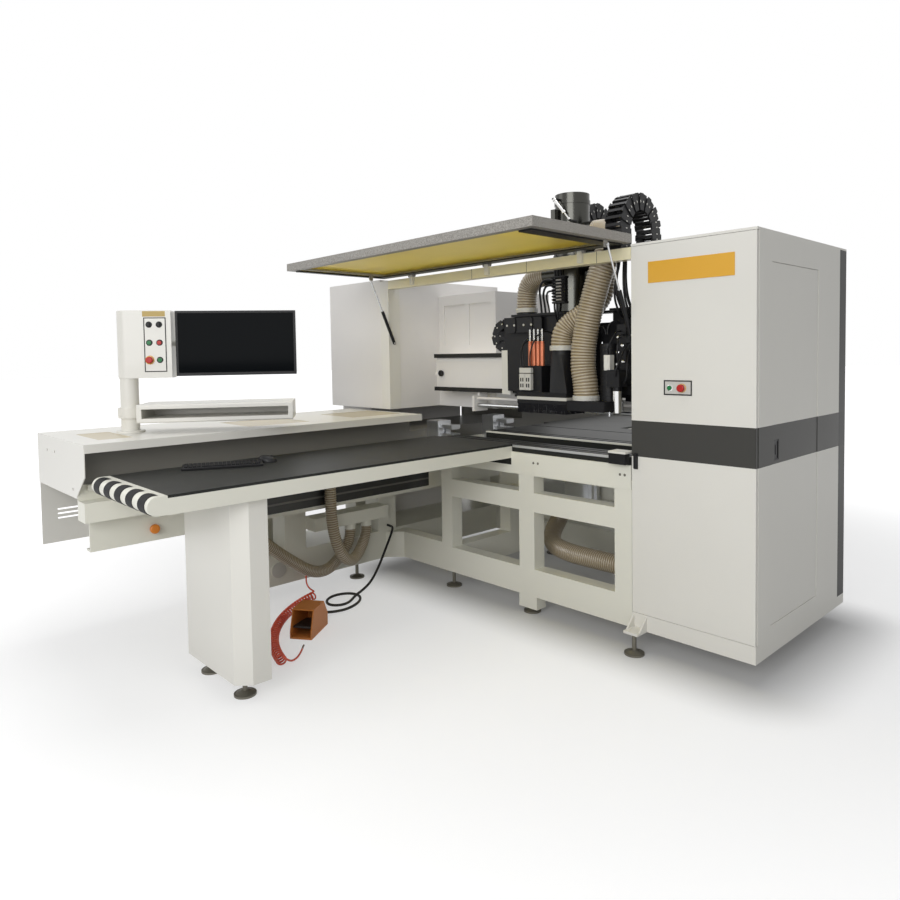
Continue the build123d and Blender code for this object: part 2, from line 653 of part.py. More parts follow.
def hood_frame():
    top = HOOD_LOW + HOOD_THICK
    frame = slab(HOOD_LEFT, HOOD_RIGHT, HOOD_FRONT, HOOD_BACK, HOOD_LOW, top)
    frame -= slab(HOOD_LEFT + HOOD_RIM, HOOD_RIGHT - HOOD_RIM, HOOD_FRONT + HOOD_RIM, HOOD_BACK - HOOD_RIM,
                  HOOD_LOW - 1, top + 1)
    glass = glass_bounds(SLIDE / 2)
    frame -= slab(*glass)
    cheek = 14
    for x in HINGE_SPOTS:
        for side in (x - LUG_HALF - SLIDE - cheek, x + LUG_HALF + SLIDE):
            frame += slab(side, side + cheek, HINGE_Y - LUG_R, HINGE_Y + LUG_R, HINGE_Z, HOOD_LOW)
            frame += rod((side, HINGE_Y, HINGE_Z), "X", LUG_R, cheek)
        span = 2 * (LUG_HALF + SLIDE + cheek)
        frame += rod((x - span / 2, HINGE_Y, HINGE_Z), "X", HINGE_PIN_R, span)
    for plate_x in (-OPENING_WIDTH + STRUT_OFFSET + 8, -STRUT_OFFSET - 14):
        frame += slab(plate_x, plate_x + 6, STRUT_EYE_Y - 14, STRUT_EYE_Y + 14, STRUT_EYE_Z - 12, HOOD_LOW)
        frame += slab(plate_x - 10, plate_x + 16, HOOD_FRONT + HOOD_RIM - 1, HOOD_BACK - HOOD_RIM + 1,
                      HOOD_LOW, HOOD_LOW + 10)
    return frame


def glass_bounds(margin):
    low = HOOD_LOW + 18
    seat = 8 + margin
    return (HOOD_LEFT + HOOD_RIM - seat, HOOD_RIGHT - HOOD_RIM + seat, HOOD_FRONT + HOOD_RIM - seat,
            HOOD_BACK - HOOD_RIM + seat, low - margin, low + HOOD_GLASS + margin)


def hood_window():
    return slab(*glass_bounds(0))


def strut_turn():
    return math.degrees(math.atan2(STRUT_EYE_Y - STRUT_Y, STRUT_EYE_Z - STRUT_Z))


def strut_span():
    return math.hypot(STRUT_EYE_Y - STRUT_Y, STRUT_EYE_Z - STRUT_Z)


def lean_strut(shape, x):
    return Pos(x, STRUT_Y, STRUT_Z) * Rot(-strut_turn(), 0, 0) * shape


def strut_cylinder(x):
    eye = rod((-5, 0, 0), "X", 10, 10)
    tube = rod((0, 0, 8), "Z", STRUT_TUBE_R, STRUT_TUBE_LENGTH - 8)
    bore = rod((0, 0, 24), "Z", STRUT_ROD_R + RUN, STRUT_TUBE_LENGTH)
    return lean_strut(eye + tube - bore - rod((-12, 0, 0), "X", STRUT_PIN_R + RUN, 24), x)


def strut_rod(x):
    span = strut_span()
    low = STRUT_TUBE_LENGTH - 20
    shaft = rod((0, 0, low), "Z", STRUT_ROD_R, span - low)
    eye = rod((-4, 0, span), "X", 8, 8)
    return lean_strut(shaft + eye, x)


LEFT_STRUT_X = -OPENING_WIDTH + STRUT_OFFSET
RIGHT_STRUT_X = -STRUT_OFFSET


# Upper head

def bearing_blocks(spots, face, rails, length, plate):
    blocks = []
    for x in spots:
        for z in rails:
            block = slab(x, x + length, plate, face - SLIDE, z - RAIL_HALF - 18, z + RAIL_HALF + 18)
            blocks.append(block - slab(x - 1, x + length + 1, face - RAIL_DEPTH - SLIDE, face,
                                       z - RAIL_HALF - SLIDE, z + RAIL_HALF + SLIDE))
    return blocks


GUIDE_SPOTS = (-700.0, -200.0)
GUIDE_HALF = 12.0
GUIDE_DEPTH = 18.0
ADAPTER = (-935.0, 300.0)
ADAPTER_TOP = SHELF_TOP + 10
ARCH_SPANS = ((-182.0, -75.0), (-685.0, -585.0))
ARCH_PLATES = ((30.0, 470.0, 2044.0), (405.0, 740.0, 2000.0))
END_PLATE = (-1108.0, -1037.0)
NOTCH_LEFT = -545.0
NOTCH_RIGHT = -285.0
NOTCH_BACK = 390.0
NOTCH_LOW = 1680.0
ARCH_PLATE_THICK = 12.0


def upper_carriage():
    back = CARRIAGE_FACE + CARRIAGE_PLATE
    carriage = slab(CARRIAGE_LEFT, CARRIAGE_RIGHT, CARRIAGE_FACE, back, CARRIAGE_LOW, SHELF_Z)
    blocks = bearing_blocks((CARRIAGE_LEFT + 50, CARRIAGE_RIGHT - 170), CROSS_FACE, CROSS_RAILS_Z, 120, back)
    for block in blocks:
        carriage += block
    carriage += slab(SHELF_LEFT, CARRIAGE_RIGHT - 30, 235, 470, SHELF_Z, SHELF_TOP)
    carriage -= slab(NOTCH_LEFT, NOTCH_RIGHT, 230, NOTCH_BACK, NOTCH_LOW, SHELF_TOP + 1)
    for x in GUIDE_SPOTS:
        carriage += slab(x - GUIDE_HALF, x + GUIDE_HALF, CARRIAGE_FACE - GUIDE_DEPTH, CARRIAGE_FACE,
                         HEAD_LOW - 10, HEAD_TOP + 30)
    carriage += rod((*ADAPTER, SHELF_TOP), "Z", SMALL_HOSE_R, ADAPTER_TOP - SHELF_TOP)
    for (x0, x1), (front, rear, low) in zip(ARCH_SPANS, ARCH_PLATES):
        carriage += slab(x0, x1, 440, 470, SHELF_Z, low)
        carriage += slab(x0, x1, front, rear, low, low + ARCH_PLATE_THICK)
    carriage += slab(*END_PLATE, CARRIAGE_FACE - 20, back, CROSS_LOW, CROSS_TOP + 15)
    return carriage


LEFT_BRANCH_Z = 1985.0
RIGHT_BRANCH_Z = 2195.0
LEFT_BRANCH_X = -765.0
RIGHT_BRANCH_X = -420.0
BOOT_BRANCH_X = -362.0
BOOT_BRANCH_Z = 2045.0
BOOT_BRANCH_LOW = 1968.0


def dust_duct():
    pipe = rod((DUCT_X, DUCT_Y, SHELF_TOP), "Z", DUCT_R, DUCT_TOP - SHELF_TOP)
    left = rod((LEFT_BRANCH_X, DUCT_Y, LEFT_BRANCH_Z), "X", SMALL_HOSE_R, DUCT_X - LEFT_BRANCH_X)
    right = rod((DUCT_X, DUCT_Y, RIGHT_BRANCH_Z), "X", HOSE_R, RIGHT_BRANCH_X - DUCT_X)
    elbow = rod((DUCT_X, DUCT_Y, BOOT_BRANCH_Z), "X", SMALL_HOSE_R, BOOT_BRANCH_X - DUCT_X)
    elbow += Pos(BOOT_BRANCH_X, DUCT_Y, BOOT_BRANCH_Z) * Sphere(SMALL_HOSE_R)
    elbow += rod((BOOT_BRANCH_X, DUCT_Y, BOOT_BRANCH_LOW), "Z", SMALL_HOSE_R, BOOT_BRANCH_Z - BOOT_BRANCH_LOW)
    collar = rod((DUCT_X, DUCT_Y, DUCT_TOP - 60), "Z", DUCT_R + 4, 22)
    bore = rod((DUCT_X, DUCT_Y, SHELF_TOP + 8), "Z", DUCT_R - DUCT_WALL, DUCT_TOP)
    lever = slab(DUCT_X - 60, DUCT_X - 30, DUCT_Y - DUCT_R - 26, DUCT_Y - DUCT_R + 40,
                 DUCT_TOP - 240, DUCT_TOP - 90)
    return pipe + left + right + elbow + collar + lever - bore


def upper_head():
    back = CARRIAGE_FACE - SLIDE
    head = slab(HEAD_LEFT, CARRIAGE_RIGHT - 20, HEAD_FACE, back, HEAD_LOW, HEAD_TOP)
    for x in GUIDE_SPOTS:
        head -= slab(x - GUIDE_HALF - SLIDE, x + GUIDE_HALF + SLIDE,
                     CARRIAGE_FACE - GUIDE_DEPTH - SLIDE, back + 1,
                     HEAD_LOW - 1, HEAD_TOP + 1)
    head += slab(BOOT_LEFT, BOOT_NECK[0] - 90, 70, HEAD_FACE, BOOT_ROOF, BOOT_ROOF + 150)
    head += slab(BOOT_LEFT + 20, BOOT_LEFT + 90, 52, 70, BOOT_ROOF + 10, BOOT_ROOF + 105)
    head += rod((*SPINDLE, SHROUD_TOP), "Z", 48, 310)
    head += slab(SPINDLE[0] - 40, SPINDLE[0] + 40, SPINDLE[1] + 30, HEAD_FACE, HEAD_LOW + 50, HEAD_TOP - 100)
    shroud = slab(SHROUD_LEFT, SHROUD_RIGHT, 35, BOOT_BACK, SHROUD_TOP - 55, SHROUD_TOP)
    shroud -= slab(SHROUD_LEFT + 6, SHROUD_RIGHT - 6, 41, BOOT_BACK - 6, SHROUD_TOP - 56, SHROUD_TOP - 6)
    shroud += slab(SHROUD_LEFT + 60, SHROUD_RIGHT - 20, BOOT_BACK - 30, HEAD_FACE + 10,
                   SHROUD_TOP, HEAD_LOW + 20)
    shroud -= rod((*FRONT_HOSE_END, SHROUD_TOP - 20), "Z", HOSE_R - HOSE_WALL, 40)
    head += shroud
    head -= rod((*SPINDLE, SHROUD_TOP - 60), "Z", TOOL_SHANK_R + RUN, 120)
    block = HEAD_LOW + 50
    head += slab(-185, -110, 60, 140, block, block + 90)
    head += slab(-175, -120, 140, HEAD_FACE, block + 10, HEAD_TOP + 40)
    head += rod((-147, 100, block - 140), "Z", 24, 140)
    for x in BANK_RODS_X:
        head -= rod((x, BANK_ROD_Y, BOOT_ROOF - 1), "Z", BANK_ROD_R + RUN, 120)
    return head


FRONT_HOSE_END = (-355.0, 112.0)
TOOL_SHANK_R = 15.0
BANK_RODS_X = (-760.0, -680.0)
BANK_ROD_Y = 150.0
BANK_ROD_R = 8.0


def milling_tool():
    tool = rod((*SPINDLE, SHROUD_TOP - 20), "Z", TOOL_SHANK_R, 70)
    tool += rod((*SPINDLE, SHROUD_TOP - 45), "Z", 24, 25)
    cutter = rod((*SPINDLE, SHROUD_TOP - 85), "Z", 8, 40)
    for side in (-1, 1):
        x = SPINDLE[0] + side * 9
        cutter -= slab(x - 5, x + 5, SPINDLE[1] - 3, SPINDLE[1] + 3, SHROUD_TOP - 86, SHROUD_TOP - 58)
    return tool + cutter


def dust_boot():
    base = slab(BOOT_LEFT, BOOT_RIGHT, BOOT_FRONT, BOOT_BACK, BOOT_LOW, BOOT_ROOF)
    x, y, z = BOOT_NECK
    depth = BOOT_BACK - BOOT_FRONT - 10
    foot = Pos(BOOT_RIGHT - 60, (BOOT_FRONT + BOOT_BACK) / 2, BOOT_ROOF) * Rectangle(120, depth)
    neck = Pos(x, y, z - 40) * Circle(SMALL_HOSE_R)
    inner_foot = Pos(BOOT_RIGHT - 60, (BOOT_FRONT + BOOT_BACK) / 2, BOOT_ROOF) * Rectangle(104, depth - 16)
    inner_neck = Pos(x, y, z - 40) * Circle(SMALL_HOSE_R - 8)
    boot = base + loft([foot, neck]) + rod((x, y, z - 40), "Z", SMALL_HOSE_R, 40)
    boot += rod((x, y, z - 22), "Z", SMALL_HOSE_R + 4, 14)
    boot -= slab(BOOT_LEFT + 8, BOOT_RIGHT - 8, BOOT_FRONT + 8, BOOT_BACK - 8, BOOT_LOW - 1, BOOT_ROOF - 10)
    boot -= loft([inner_foot, inner_neck])
    boot -= rod((x, y, z - 41), "Z", SMALL_HOSE_R - 8, 60)
    boot -= slab(BOOT_RIGHT - 112, BOOT_RIGHT - 8, BOOT_FRONT + 13, BOOT_BACK - 13, BOOT_LOW, BOOT_ROOF + 0.5)
    for rod_x in BANK_RODS_X:
        boot -= rod((rod_x, BANK_ROD_Y, BOOT_LOW), "Z", BANK_ROD_R + RUN, 60)
    return boot


def brush_skirt():
    top = BOOT_LOW
    low = top - BRUSH_BACKING
    tip = top - BRUSH_LENGTH
    depth = 8
    skirt = slab(BOOT_LEFT, BOOT_RIGHT, BOOT_FRONT, BOOT_BACK, low, top)
    skirt -= slab(BOOT_LEFT + depth, BOOT_RIGHT - depth, BOOT_FRONT + depth, BOOT_BACK - depth,
                  low - 1, top + 1)
    half = 1.0
    strands = []
    mid = depth / 2

    def strand(x, y):
        points = ((x - half, y - half), (x + half, y - half), (x, y + half))
        return prism_z(points, tip, low + 1)

    for i in range(BRISTLES_LONG):
        x = BOOT_LEFT + mid + (BOOT_RIGHT - BOOT_LEFT - depth) * i / (BRISTLES_LONG - 1)
        strands += [strand(x, BOOT_FRONT + mid), strand(x, BOOT_BACK - mid)]
    for i in range(1, BRISTLES_SHORT - 1):
        y = BOOT_FRONT + mid + (BOOT_BACK - BOOT_FRONT - depth) * i / (BRISTLES_SHORT - 1)
        strands += [strand(BOOT_LEFT + mid, y), strand(BOOT_RIGHT - mid, y)]
    return skirt.fuse(*strands)


def drill_bank():
    low = BOOT_LOW - 32
    plate = slab(BOOT_LEFT + 20, BOOT_RIGHT - 120, BOOT_FRONT + 50, BOOT_BACK - 20, low + 20, low + 32)
    for x in BANK_RODS_X:
        plate += rod((x, BANK_ROD_Y, low + 20), "Z", BANK_ROD_R, 160)
    pitch = 32
    for i in range(6):
        x = BOOT_LEFT + 40 + i * pitch
        plate += rod((x, BANK_ROD_Y, low - 12), "Z", 9, 32)
        plate += rod((x, BANK_ROD_Y, low - 44), "Z", 4, 32)
    return plate


# Ribbed hoses

def hose_stations(points, radii, steps):
    path = FilletPolyline(*points, radius=radii)
    wire = Wire(path.edges())
    stations = []
    side = Vector(0.31, 0.94, 0.12)
    for i in range(steps + 1):
        along = wire.tangent_at(i / steps)
        side = (side - along * side.dot(along)).normalized()
        stations.append(Plane(origin=wire.position_at(i / steps), x_dir=side, z_dir=along))
    return stations


def round_section(station, radius):
    return station * Circle(radius)


def ribbed_hose(points, radii, radius, ribs):
    phases = (0.0, 0.0, 1.0, 1.0)
    stations = hose_stations(points, radii, 4 * ribs)
    outer = []
    for i, station in enumerate(stations):
        swell = phases[(i + 2) % 4] if 2 <= i <= 4 * ribs - 2 else 0.0
        outer.append(round_section(station, radius - RIB_DEPTH + RIB_DEPTH * swell))
    bore = [round_section(station, radius - RIB_DEPTH - HOSE_WALL) for station in stations[::2]]
    return loft(outer, ruled=True) - loft(bore, ruled=True)


def turn_radii(points):
    radii = []
    for a, b, c in zip(points, points[1:], points[2:]):
        back = Vector(*b) - Vector(*a)
        on = Vector(*c) - Vector(*b)
        half = math.radians(back.get_angle(on)) / 2
        radii.append(0.45 * min(back.length, on.length) / math.tan(half))
    return radii


FRONT_HOSE = ((RIGHT_BRANCH_X, DUCT_Y, RIGHT_BRANCH_Z), (-350, DUCT_Y, RIGHT_BRANCH_Z), (-285, 265, 2170),
              (-265, 215, 2105), (-268, 180, 2025), (-295, 158, 1930), (-335, 140, 1780), (-372, 122, 1590),
              (-378, 113, 1440), (*FRONT_HOSE_END, 1330), (*FRONT_HOSE_END, SHROUD_TOP))
LEFT_HOSE = ((LEFT_BRANCH_X, DUCT_Y, LEFT_BRANCH_Z), (-845, DUCT_Y, LEFT_BRANCH_Z), (-915, DUCT_Y + 2, 1940),
             (*ADAPTER, 1870), (*ADAPTER, ADAPTER_TOP))
BOOT_HOSE = (BOOT_NECK, (BOOT_NECK[0], BOOT_NECK[1], 1612), (-515, 168, 1672), (-438, 200, 1725),
             (-388, 252, 1778),
             (-364, 290, 1850), (BOOT_BRANCH_X, DUCT_Y, 1925), (BOOT_BRANCH_X, DUCT_Y, BOOT_BRANCH_LOW))
LOWER_HOSE = ((-40, 240, 330), (-180, 240, 330), (-400, 236, 330), (-600, 248, 328), (-770, 320, 332),
              (-860, 440, LOWER_BEAM_LOW - 188), (-895, 555, LOWER_BEAM_LOW - 130),
              (-900, 620, LOWER_BEAM_LOW - 70), (-900, 620, LOWER_BEAM_LOW))


def dust_hoses():
    front = ribbed_hose(FRONT_HOSE, turn_radii(FRONT_HOSE), HOSE_R, 22)
    left = ribbed_hose(LEFT_HOSE, turn_radii(LEFT_HOSE), SMALL_HOSE_R, 6)
    boot = ribbed_hose(BOOT_HOSE, turn_radii(BOOT_HOSE), SMALL_HOSE_R, 12)
    return group([front, left, boot])


LOWER_HOSE_R = 55.0


def lower_dust_hose():
    return ribbed_hose(LOWER_HOSE, turn_radii(LOWER_HOSE), LOWER_HOSE_R, 16)


# Cable chains

def chain_links(stations, plane_of, width, height):
    links = []
    half = height / 2
    for (p0, n0), (p1, n1) in zip(stations, stations[1:]):
        a = (p1 - p0).normalized() * (CHAIN_GAP / 2)
        for thick, keep in ((half, True), (half - CHAIN_WALL, False)):
            corners = [p0 + a - n0 * thick, p0 + a + n0 * thick, p1 - a + n1 * thick, p1 - a - n1 * thick]
            if keep:
                link = plane_of(corners, 0, width)
            else:
                link -= plane_of(corners, CHAIN_WALL, width - CHAIN_WALL)
        links.append(link)
    return links


def loop_stations(straight_a, straight_b, radius, links_a, links_b, links_turn):
    stations = []
    for i in range(links_a):
        stations.append((Vector(straight_a * (1 - i / links_a), -radius), Vector(0, -1)))
    for i in range(links_turn + 1):
        angle = math.pi * i / links_turn
        out = Vector(-math.sin(angle), -math.cos(angle))
        stations.append((out * radius, out))
    for i in range(1, links_b + 1):
        stations.append((Vector(straight_b * i / links_b, radius), Vector(0, 1)))
    return stations


CHAIN_X_BEND = -1200.0
CHAIN_X_Y = (372.0, 458.0)
CHAIN_X_LOW = CROSS_TOP
CHAIN_X_HIGH = SHELF_Z
CHAIN_X_FIXED = -260.0
CHAIN_X_MOVING = -760.0


def cable_chain_x():
    radius = (CHAIN_X_HIGH - CHAIN_X_LOW - CHAIN_HEIGHT) / 2
    middle = (CHAIN_X_HIGH + CHAIN_X_LOW) / 2
    stations = loop_stations(CHAIN_X_FIXED - CHAIN_X_BEND, CHAIN_X_MOVING - CHAIN_X_BEND, radius, 14, 7, 6)

    def plane_of(corners, start, end):
        points = [(CHAIN_X_BEND + c.X, middle + c.Y) for c in corners]
        return prism_y(points, CHAIN_X_Y[0] + start, CHAIN_X_Y[0] + end)

    return group(chain_links(stations, plane_of, CHAIN_X_Y[1] - CHAIN_X_Y[0], CHAIN_HEIGHT))


ARCH_SIZES = ((230.0, 148.0, 101.0), (574.0, 110.0, 259.0))


def arch(span, base, centre_y, radius, rise):
    low = base + ARCH_PLATE_THICK
    runs = max(2, round(rise / 55))
    stations = loop_stations(rise, rise, radius, runs, runs, 9)

    def plane_of(corners, start, end):
        points = [(centre_y + c.Y, low + rise - c.X) for c in corners]
        return prism_x(points, span[0] + 15 + start, span[0] + 15 + end)

    return chain_links(stations, plane_of, span[1] - span[0] - 30, ARCH_HEIGHT)


def cable_chain_arch():
    links = []
    for span, plate, (centre_y, radius, rise) in zip(ARCH_SPANS, ARCH_PLATES, ARCH_SIZES):
        links += arch(span, plate[2], centre_y, radius, rise)
    return group(links)


# Lower drilling unit

def lower_carriage():
    plate = LOWER_BEAM_FACE - RAIL_DEPTH - 22
    carriage = slab(LOWER_LEFT, LOWER_RIGHT, plate - 30, plate, LOWER_BEAM_LOW, LOWER_BEAM_TOP + 40)
    spots = (LOWER_LEFT + 20, LOWER_RIGHT - 110)
    for block in bearing_blocks(spots, LOWER_BEAM_FACE, LOWER_RAILS_Z, 90, plate):
        carriage += block
    for x in (LOWER_LEFT + 80, LOWER_RIGHT - 80):
        carriage += slab(x - GUIDE_HALF, x + GUIDE_HALF, plate - 30 - GUIDE_DEPTH, plate - 30,
                         LOWER_BEAM_LOW, LOWER_BEAM_TOP + 40)
    return carriage


def lower_head():
    face = LOWER_BEAM_FACE - RAIL_DEPTH - 52
    back = face - SLIDE
    head = slab(LOWER_LEFT + 10, LOWER_RIGHT - 10, back - 40, back, LOWER_BEAM_LOW + 20, LOWER_BEAM_TOP)
    for x in (LOWER_LEFT + 80, LOWER_RIGHT - 80):
        head -= slab(x - GUIDE_HALF - SLIDE, x + GUIDE_HALF + SLIDE, face - GUIDE_DEPTH - SLIDE, back + 1,
                     LOWER_BEAM_LOW, LOWER_BEAM_TOP + 1)
    front = DECK_FRONT_DEPTH + 70
    head += slab(LOWER_LEFT + 40, LOWER_RIGHT - 40, front, back - 40,
                 LOWER_BEAM_LOW + 60, LOWER_BEAM_TOP + 20)
    for i in range(6):
        x = LOWER_LEFT + 90 + i * 44
        head += rod((x, 330, LOWER_BEAM_TOP + 20), "Z", 12, 40)
        head += rod((x, 330, LOWER_BEAM_TOP + 60), "Z", 4, 34)
    return head


# Cabinet

FRONT_HINGE = (CABINET_WIDTH - 8, FRONT_DOOR_THICK / 2)
SIDE_HINGE = (CABINET_WIDTH - PANEL_WALL / 2, SIDE_DOOR_FAR - 11)


def cabinet_shell():
    width = CABINET_WIDTH
    shell = slab(0, width, SHELL_SETBACK, CABINET_DEPTH, FLOOR_GAP, CABINET_TOP)
    shell -= slab(PANEL_WALL, width - PANEL_WALL, SHELL_SETBACK - 1, CABINET_DEPTH - PANEL_WALL,
                  FLOOR_GAP + PANEL_WALL, CABINET_TOP - PANEL_WALL)
    shell += slab(0, width, 0, SHELL_SETBACK, CABINET_TOP - CAP_HEIGHT, CABINET_TOP)
    shell += slab(0, width, 0, SHELL_SETBACK + PANEL_WALL, FLOOR_GAP, SILL_TOP)
    shell -= slab(width - PANEL_WALL - 1, width + 1, SIDE_DOOR_NEAR, SIDE_DOOR_FAR,
                  SIDE_DOOR_LOW, SIDE_DOOR_HIGH)
    pins = ((*FRONT_HINGE, SILL_TOP - 10), (*FRONT_HINGE, CABINET_TOP - CAP_HEIGHT),
            (*SIDE_HINGE, SIDE_DOOR_LOW - 10), (*SIDE_HINGE, SIDE_DOOR_HIGH))
    for pin in pins:
        shell -= rod(pin, "Z", DOOR_PIN_R + RUN, 10)
    half = 40
    reach = CABINET_FOOT_REACH + 36
    x = CABINET_FOOT_X
    bracket = slab(x - half, x + half, -reach, 0, FLOOR_GAP, FLOOR_GAP + 12)
    for side in (x - half, x + half - 8):
        bracket += prism_x(((-reach + 10, FLOOR_GAP), (0, FLOOR_GAP), (0, SILL_TOP - 8)), side, side + 8)
    shell += bracket
    rear = to_rear(bracket)
    shell += rear
    collar = rod((-40, 240, 330), "X", LOWER_HOSE_R, 40) - rod((-41, 240, 330), "X", LOWER_HOSE_R - 8, 42)
    panel = slab(80, width - 80, CABINET_DEPTH - PANEL_WALL - 40, CABINET_DEPTH - PANEL_WALL, 400, 1800)
    for z in (600, 1000, 1400):
        panel += slab(110, width - 110, CABINET_DEPTH - PANEL_WALL - 200,
                      CABINET_DEPTH - PANEL_WALL - 40, z, z + 240)
    return shell + collar + panel + strut_stud(-STRUT_OFFSET - 8, 0)


def cabinet_front_door():
    low = SILL_TOP + DOOR_GAP
    high = CABINET_TOP - CAP_HEIGHT - DOOR_GAP
    door = slab(DOOR_GAP, CABINET_WIDTH - DOOR_GAP, 0, FRONT_DOOR_THICK, low, high)
    door += rod((*FRONT_HINGE, low - DOOR_PIN_LENGTH), "Z", DOOR_PIN_R, 10)
    door += rod((*FRONT_HINGE, high - 2), "Z", DOOR_PIN_R, DOOR_PIN_LENGTH + 2)
    door += slab(20, 34, -14, 0, 930, 1000)
    for x in CABINET_BUTTONS_X:
        door -= rod((x, -1, CABINET_BUTTONS_Z), "Y", BUTTON_R - 3 + RUN, FRONT_DOOR_THICK + 2)
    return door


def cabinet_side_door():
    gap = 4
    low = SIDE_DOOR_LOW + DOOR_GAP
    high = SIDE_DOOR_HIGH - DOOR_GAP
    right = CABINET_WIDTH - 2
    door = slab(right - PANEL_WALL + 4, right, SIDE_DOOR_NEAR + gap, SIDE_DOOR_FAR - gap, low, high)
    door += rod((*SIDE_HINGE, low - DOOR_PIN_LENGTH), "Z", DOOR_PIN_R, 10)
    door += rod((*SIDE_HINGE, high - 2), "Z", DOOR_PIN_R, DOOR_PIN_LENGTH + 2)
    return door - slab(right - 6, right + 1, 195, 245, 1005, 1100)


def push_button(head_r):
    stem_r = BUTTON_R - 3
    return rod((0, -BUTTON_PROUD, 0), "Y", head_r, 6) + rod((0, -BUTTON_PROUD, 0), "Y", stem_r,
                                                            BUTTON_PROUD + BUTTON_STEM)


def stop_button():
    button = push_button(BUTTON_R)
    cap = rod((0, -BUTTON_PROUD - 14, 0), "Y", STOP_R, 14)
    return button + fillet(cap.edges().group_by(Axis.Y)[0], 5)


def selector():
    knob = push_button(BUTTON_R + 1)
    return knob + slab(-4, 4, -BUTTON_PROUD - 10, -BUTTON_PROUD, -11, 11)


def on_cabinet(button, index):
    return Pos(CABINET_BUTTONS_X[index], 0, CABINET_BUTTONS_Z) * button


def on_console(button, x, z):
    return at_console(Pos(x, -BOX_HALF, z) * button)


# Console

def console_post():
    post = rod((0, 0, COVER_TOP), "Z", POST_R, BOX_LOW - SLIDE - COVER_TOP)
    post += rod((0, 0, COVER_TOP), "Z", POST_R + 25, 10)
    post += rod((0, 0, COLLAR_Z - 14), "Z", POST_R + 14, 14)
    post += rod((0, 0, BOX_LOW - SLIDE), "Z", SPIGOT_R, SPIGOT_HEIGHT)
    return at_console(post)


CONTROLS = ((COLUMN_A, ROW_Z[0]), (COLUMN_B, ROW_Z[0]), (COLUMN_A, ROW_Z[1]), (COLUMN_B, ROW_Z[1]),
            (COLUMN_A, ROW_Z[2]), (COLUMN_B, ROW_Z[2]))


def control_box():
    height = BOX_HIGH - BOX_LOW
    box = rod((0, 0, BOX_LOW), "Z", BOX_HALF, height)
    box += slab(0, BOX_LENGTH, -BOX_HALF, BOX_HALF, BOX_LOW, BOX_HIGH)
    box = fillet(box.edges().group_by(Axis.Z)[-1], 6)
    box -= rod((0, 0, BOX_LOW - 1), "Z", SPIGOT_R + RUN, SPIGOT_HEIGHT + 3)
    for x, z in CONTROLS:
        box -= rod((x, -BOX_HALF - 1, z), "Y", BUTTON_R - 3 + RUN, 2 * BUTTON_STEM + 2)
    box += slab(BOX_LENGTH - 40, BOX_LENGTH, BOX_HALF - 10, ARM_Y + ARM_R + 8, ARM_Z - 24, ARM_Z + 24)
    return at_console(box + rod((BOX_LENGTH, ARM_Y, ARM_Z), "X", ARM_R, SCREEN_WIDTH * 0.7))


def monitor():
    right = SCREEN_LEFT + SCREEN_WIDTH
    screen = slab(SCREEN_LEFT, right, -20, 12, SCREEN_LOW, SCREEN_HIGH)
    back = slab(SCREEN_LEFT + 90, right - 90, 12, ARM_Y - ARM_R - 6, SCREEN_LOW + 60, SCREEN_HIGH - 50)
    screen += back
    screen -= slab(SCREEN_LEFT + 12, right - 12, -21, -18, SCREEN_LOW + 16, SCREEN_HIGH - 12)
    for x in (SCREEN_LEFT + 180, SCREEN_LEFT + 340):
        lug = slab(x, x + 50, 20, ARM_Y, ARM_Z - 24, ARM_Z + 24) + rod((x, ARM_Y, ARM_Z), "X", 24, 50)
        screen += lug
    return at_console(screen - rod((SCREEN_LEFT + 170, ARM_Y, ARM_Z), "X", ARM_R + RUN, 260))


def keyboard_tray():
    ring = rod((0, 0, COLLAR_Z), "Z", POST_R + 15, 42)
    tray = slab(TRAY_LEFT, TRAY_RIGHT, TRAY_FRONT, TRAY_BACK, TRAY_LOW, TRAY_HIGH)
    tray = fillet(tray.edges().filter_by(Axis.X), 8)
    tray -= slab(TRAY_LEFT + 24, TRAY_RIGHT - 24, TRAY_FRONT - 1, TRAY_BACK - 24,
                 TRAY_LOW + 24, TRAY_HIGH - 24)
    tray += slab(POST_R + 4, TRAY_LEFT + 4, -30, 30, COLLAR_Z + 2, COLLAR_Z + 38)
    return at_console(ring + tray - rod((0, 0, COLLAR_Z - 1), "Z", POST_R + RUN, 44))


# Foot pedal

PEDAL_PIVOT = (PEDAL_BACK - 34, 34.0)


def at_pedal(shape):
    middle = (PEDAL_FRONT + PEDAL_BACK) / 2
    return Pos(PEDAL_X, middle, 0) * Rot(0, 0, PEDAL_TURN) * Pos(-PEDAL_X, -middle, 0) * shape


def pedal_spot(y, z):
    middle = (PEDAL_FRONT + PEDAL_BACK) / 2
    turn = math.radians(PEDAL_TURN)
    return (PEDAL_X - (y - middle) * math.sin(turn), middle + (y - middle) * math.cos(turn), z)


def pedal_guard():
    half = PEDAL_WIDTH / 2
    outline = ((PEDAL_FRONT, 0), (PEDAL_BACK, 0), (PEDAL_BACK, 70), (PEDAL_BACK - 50, PEDAL_HEIGHT),
               (PEDAL_FRONT + 40, PEDAL_HEIGHT), (PEDAL_FRONT, 40))
    inner = ((PEDAL_FRONT - 1, 12), (PEDAL_BACK - PEDAL_WALL, 12), (PEDAL_BACK - PEDAL_WALL, 66),
             (PEDAL_BACK - 52, PEDAL_HEIGHT - PEDAL_WALL), (PEDAL_FRONT + 20, PEDAL_HEIGHT - PEDAL_WALL),
             (PEDAL_FRONT - 1, 80))
    guard = prism_x(outline, PEDAL_X - half, PEDAL_X + half)
    guard -= prism_x(inner, PEDAL_X - half + PEDAL_WALL, PEDAL_X + half - PEDAL_WALL)
    return at_pedal(guard - rod((PEDAL_X - half + 2, *PEDAL_PIVOT), "X", PEDAL_PIN_R + RUN, PEDAL_WIDTH - 4))


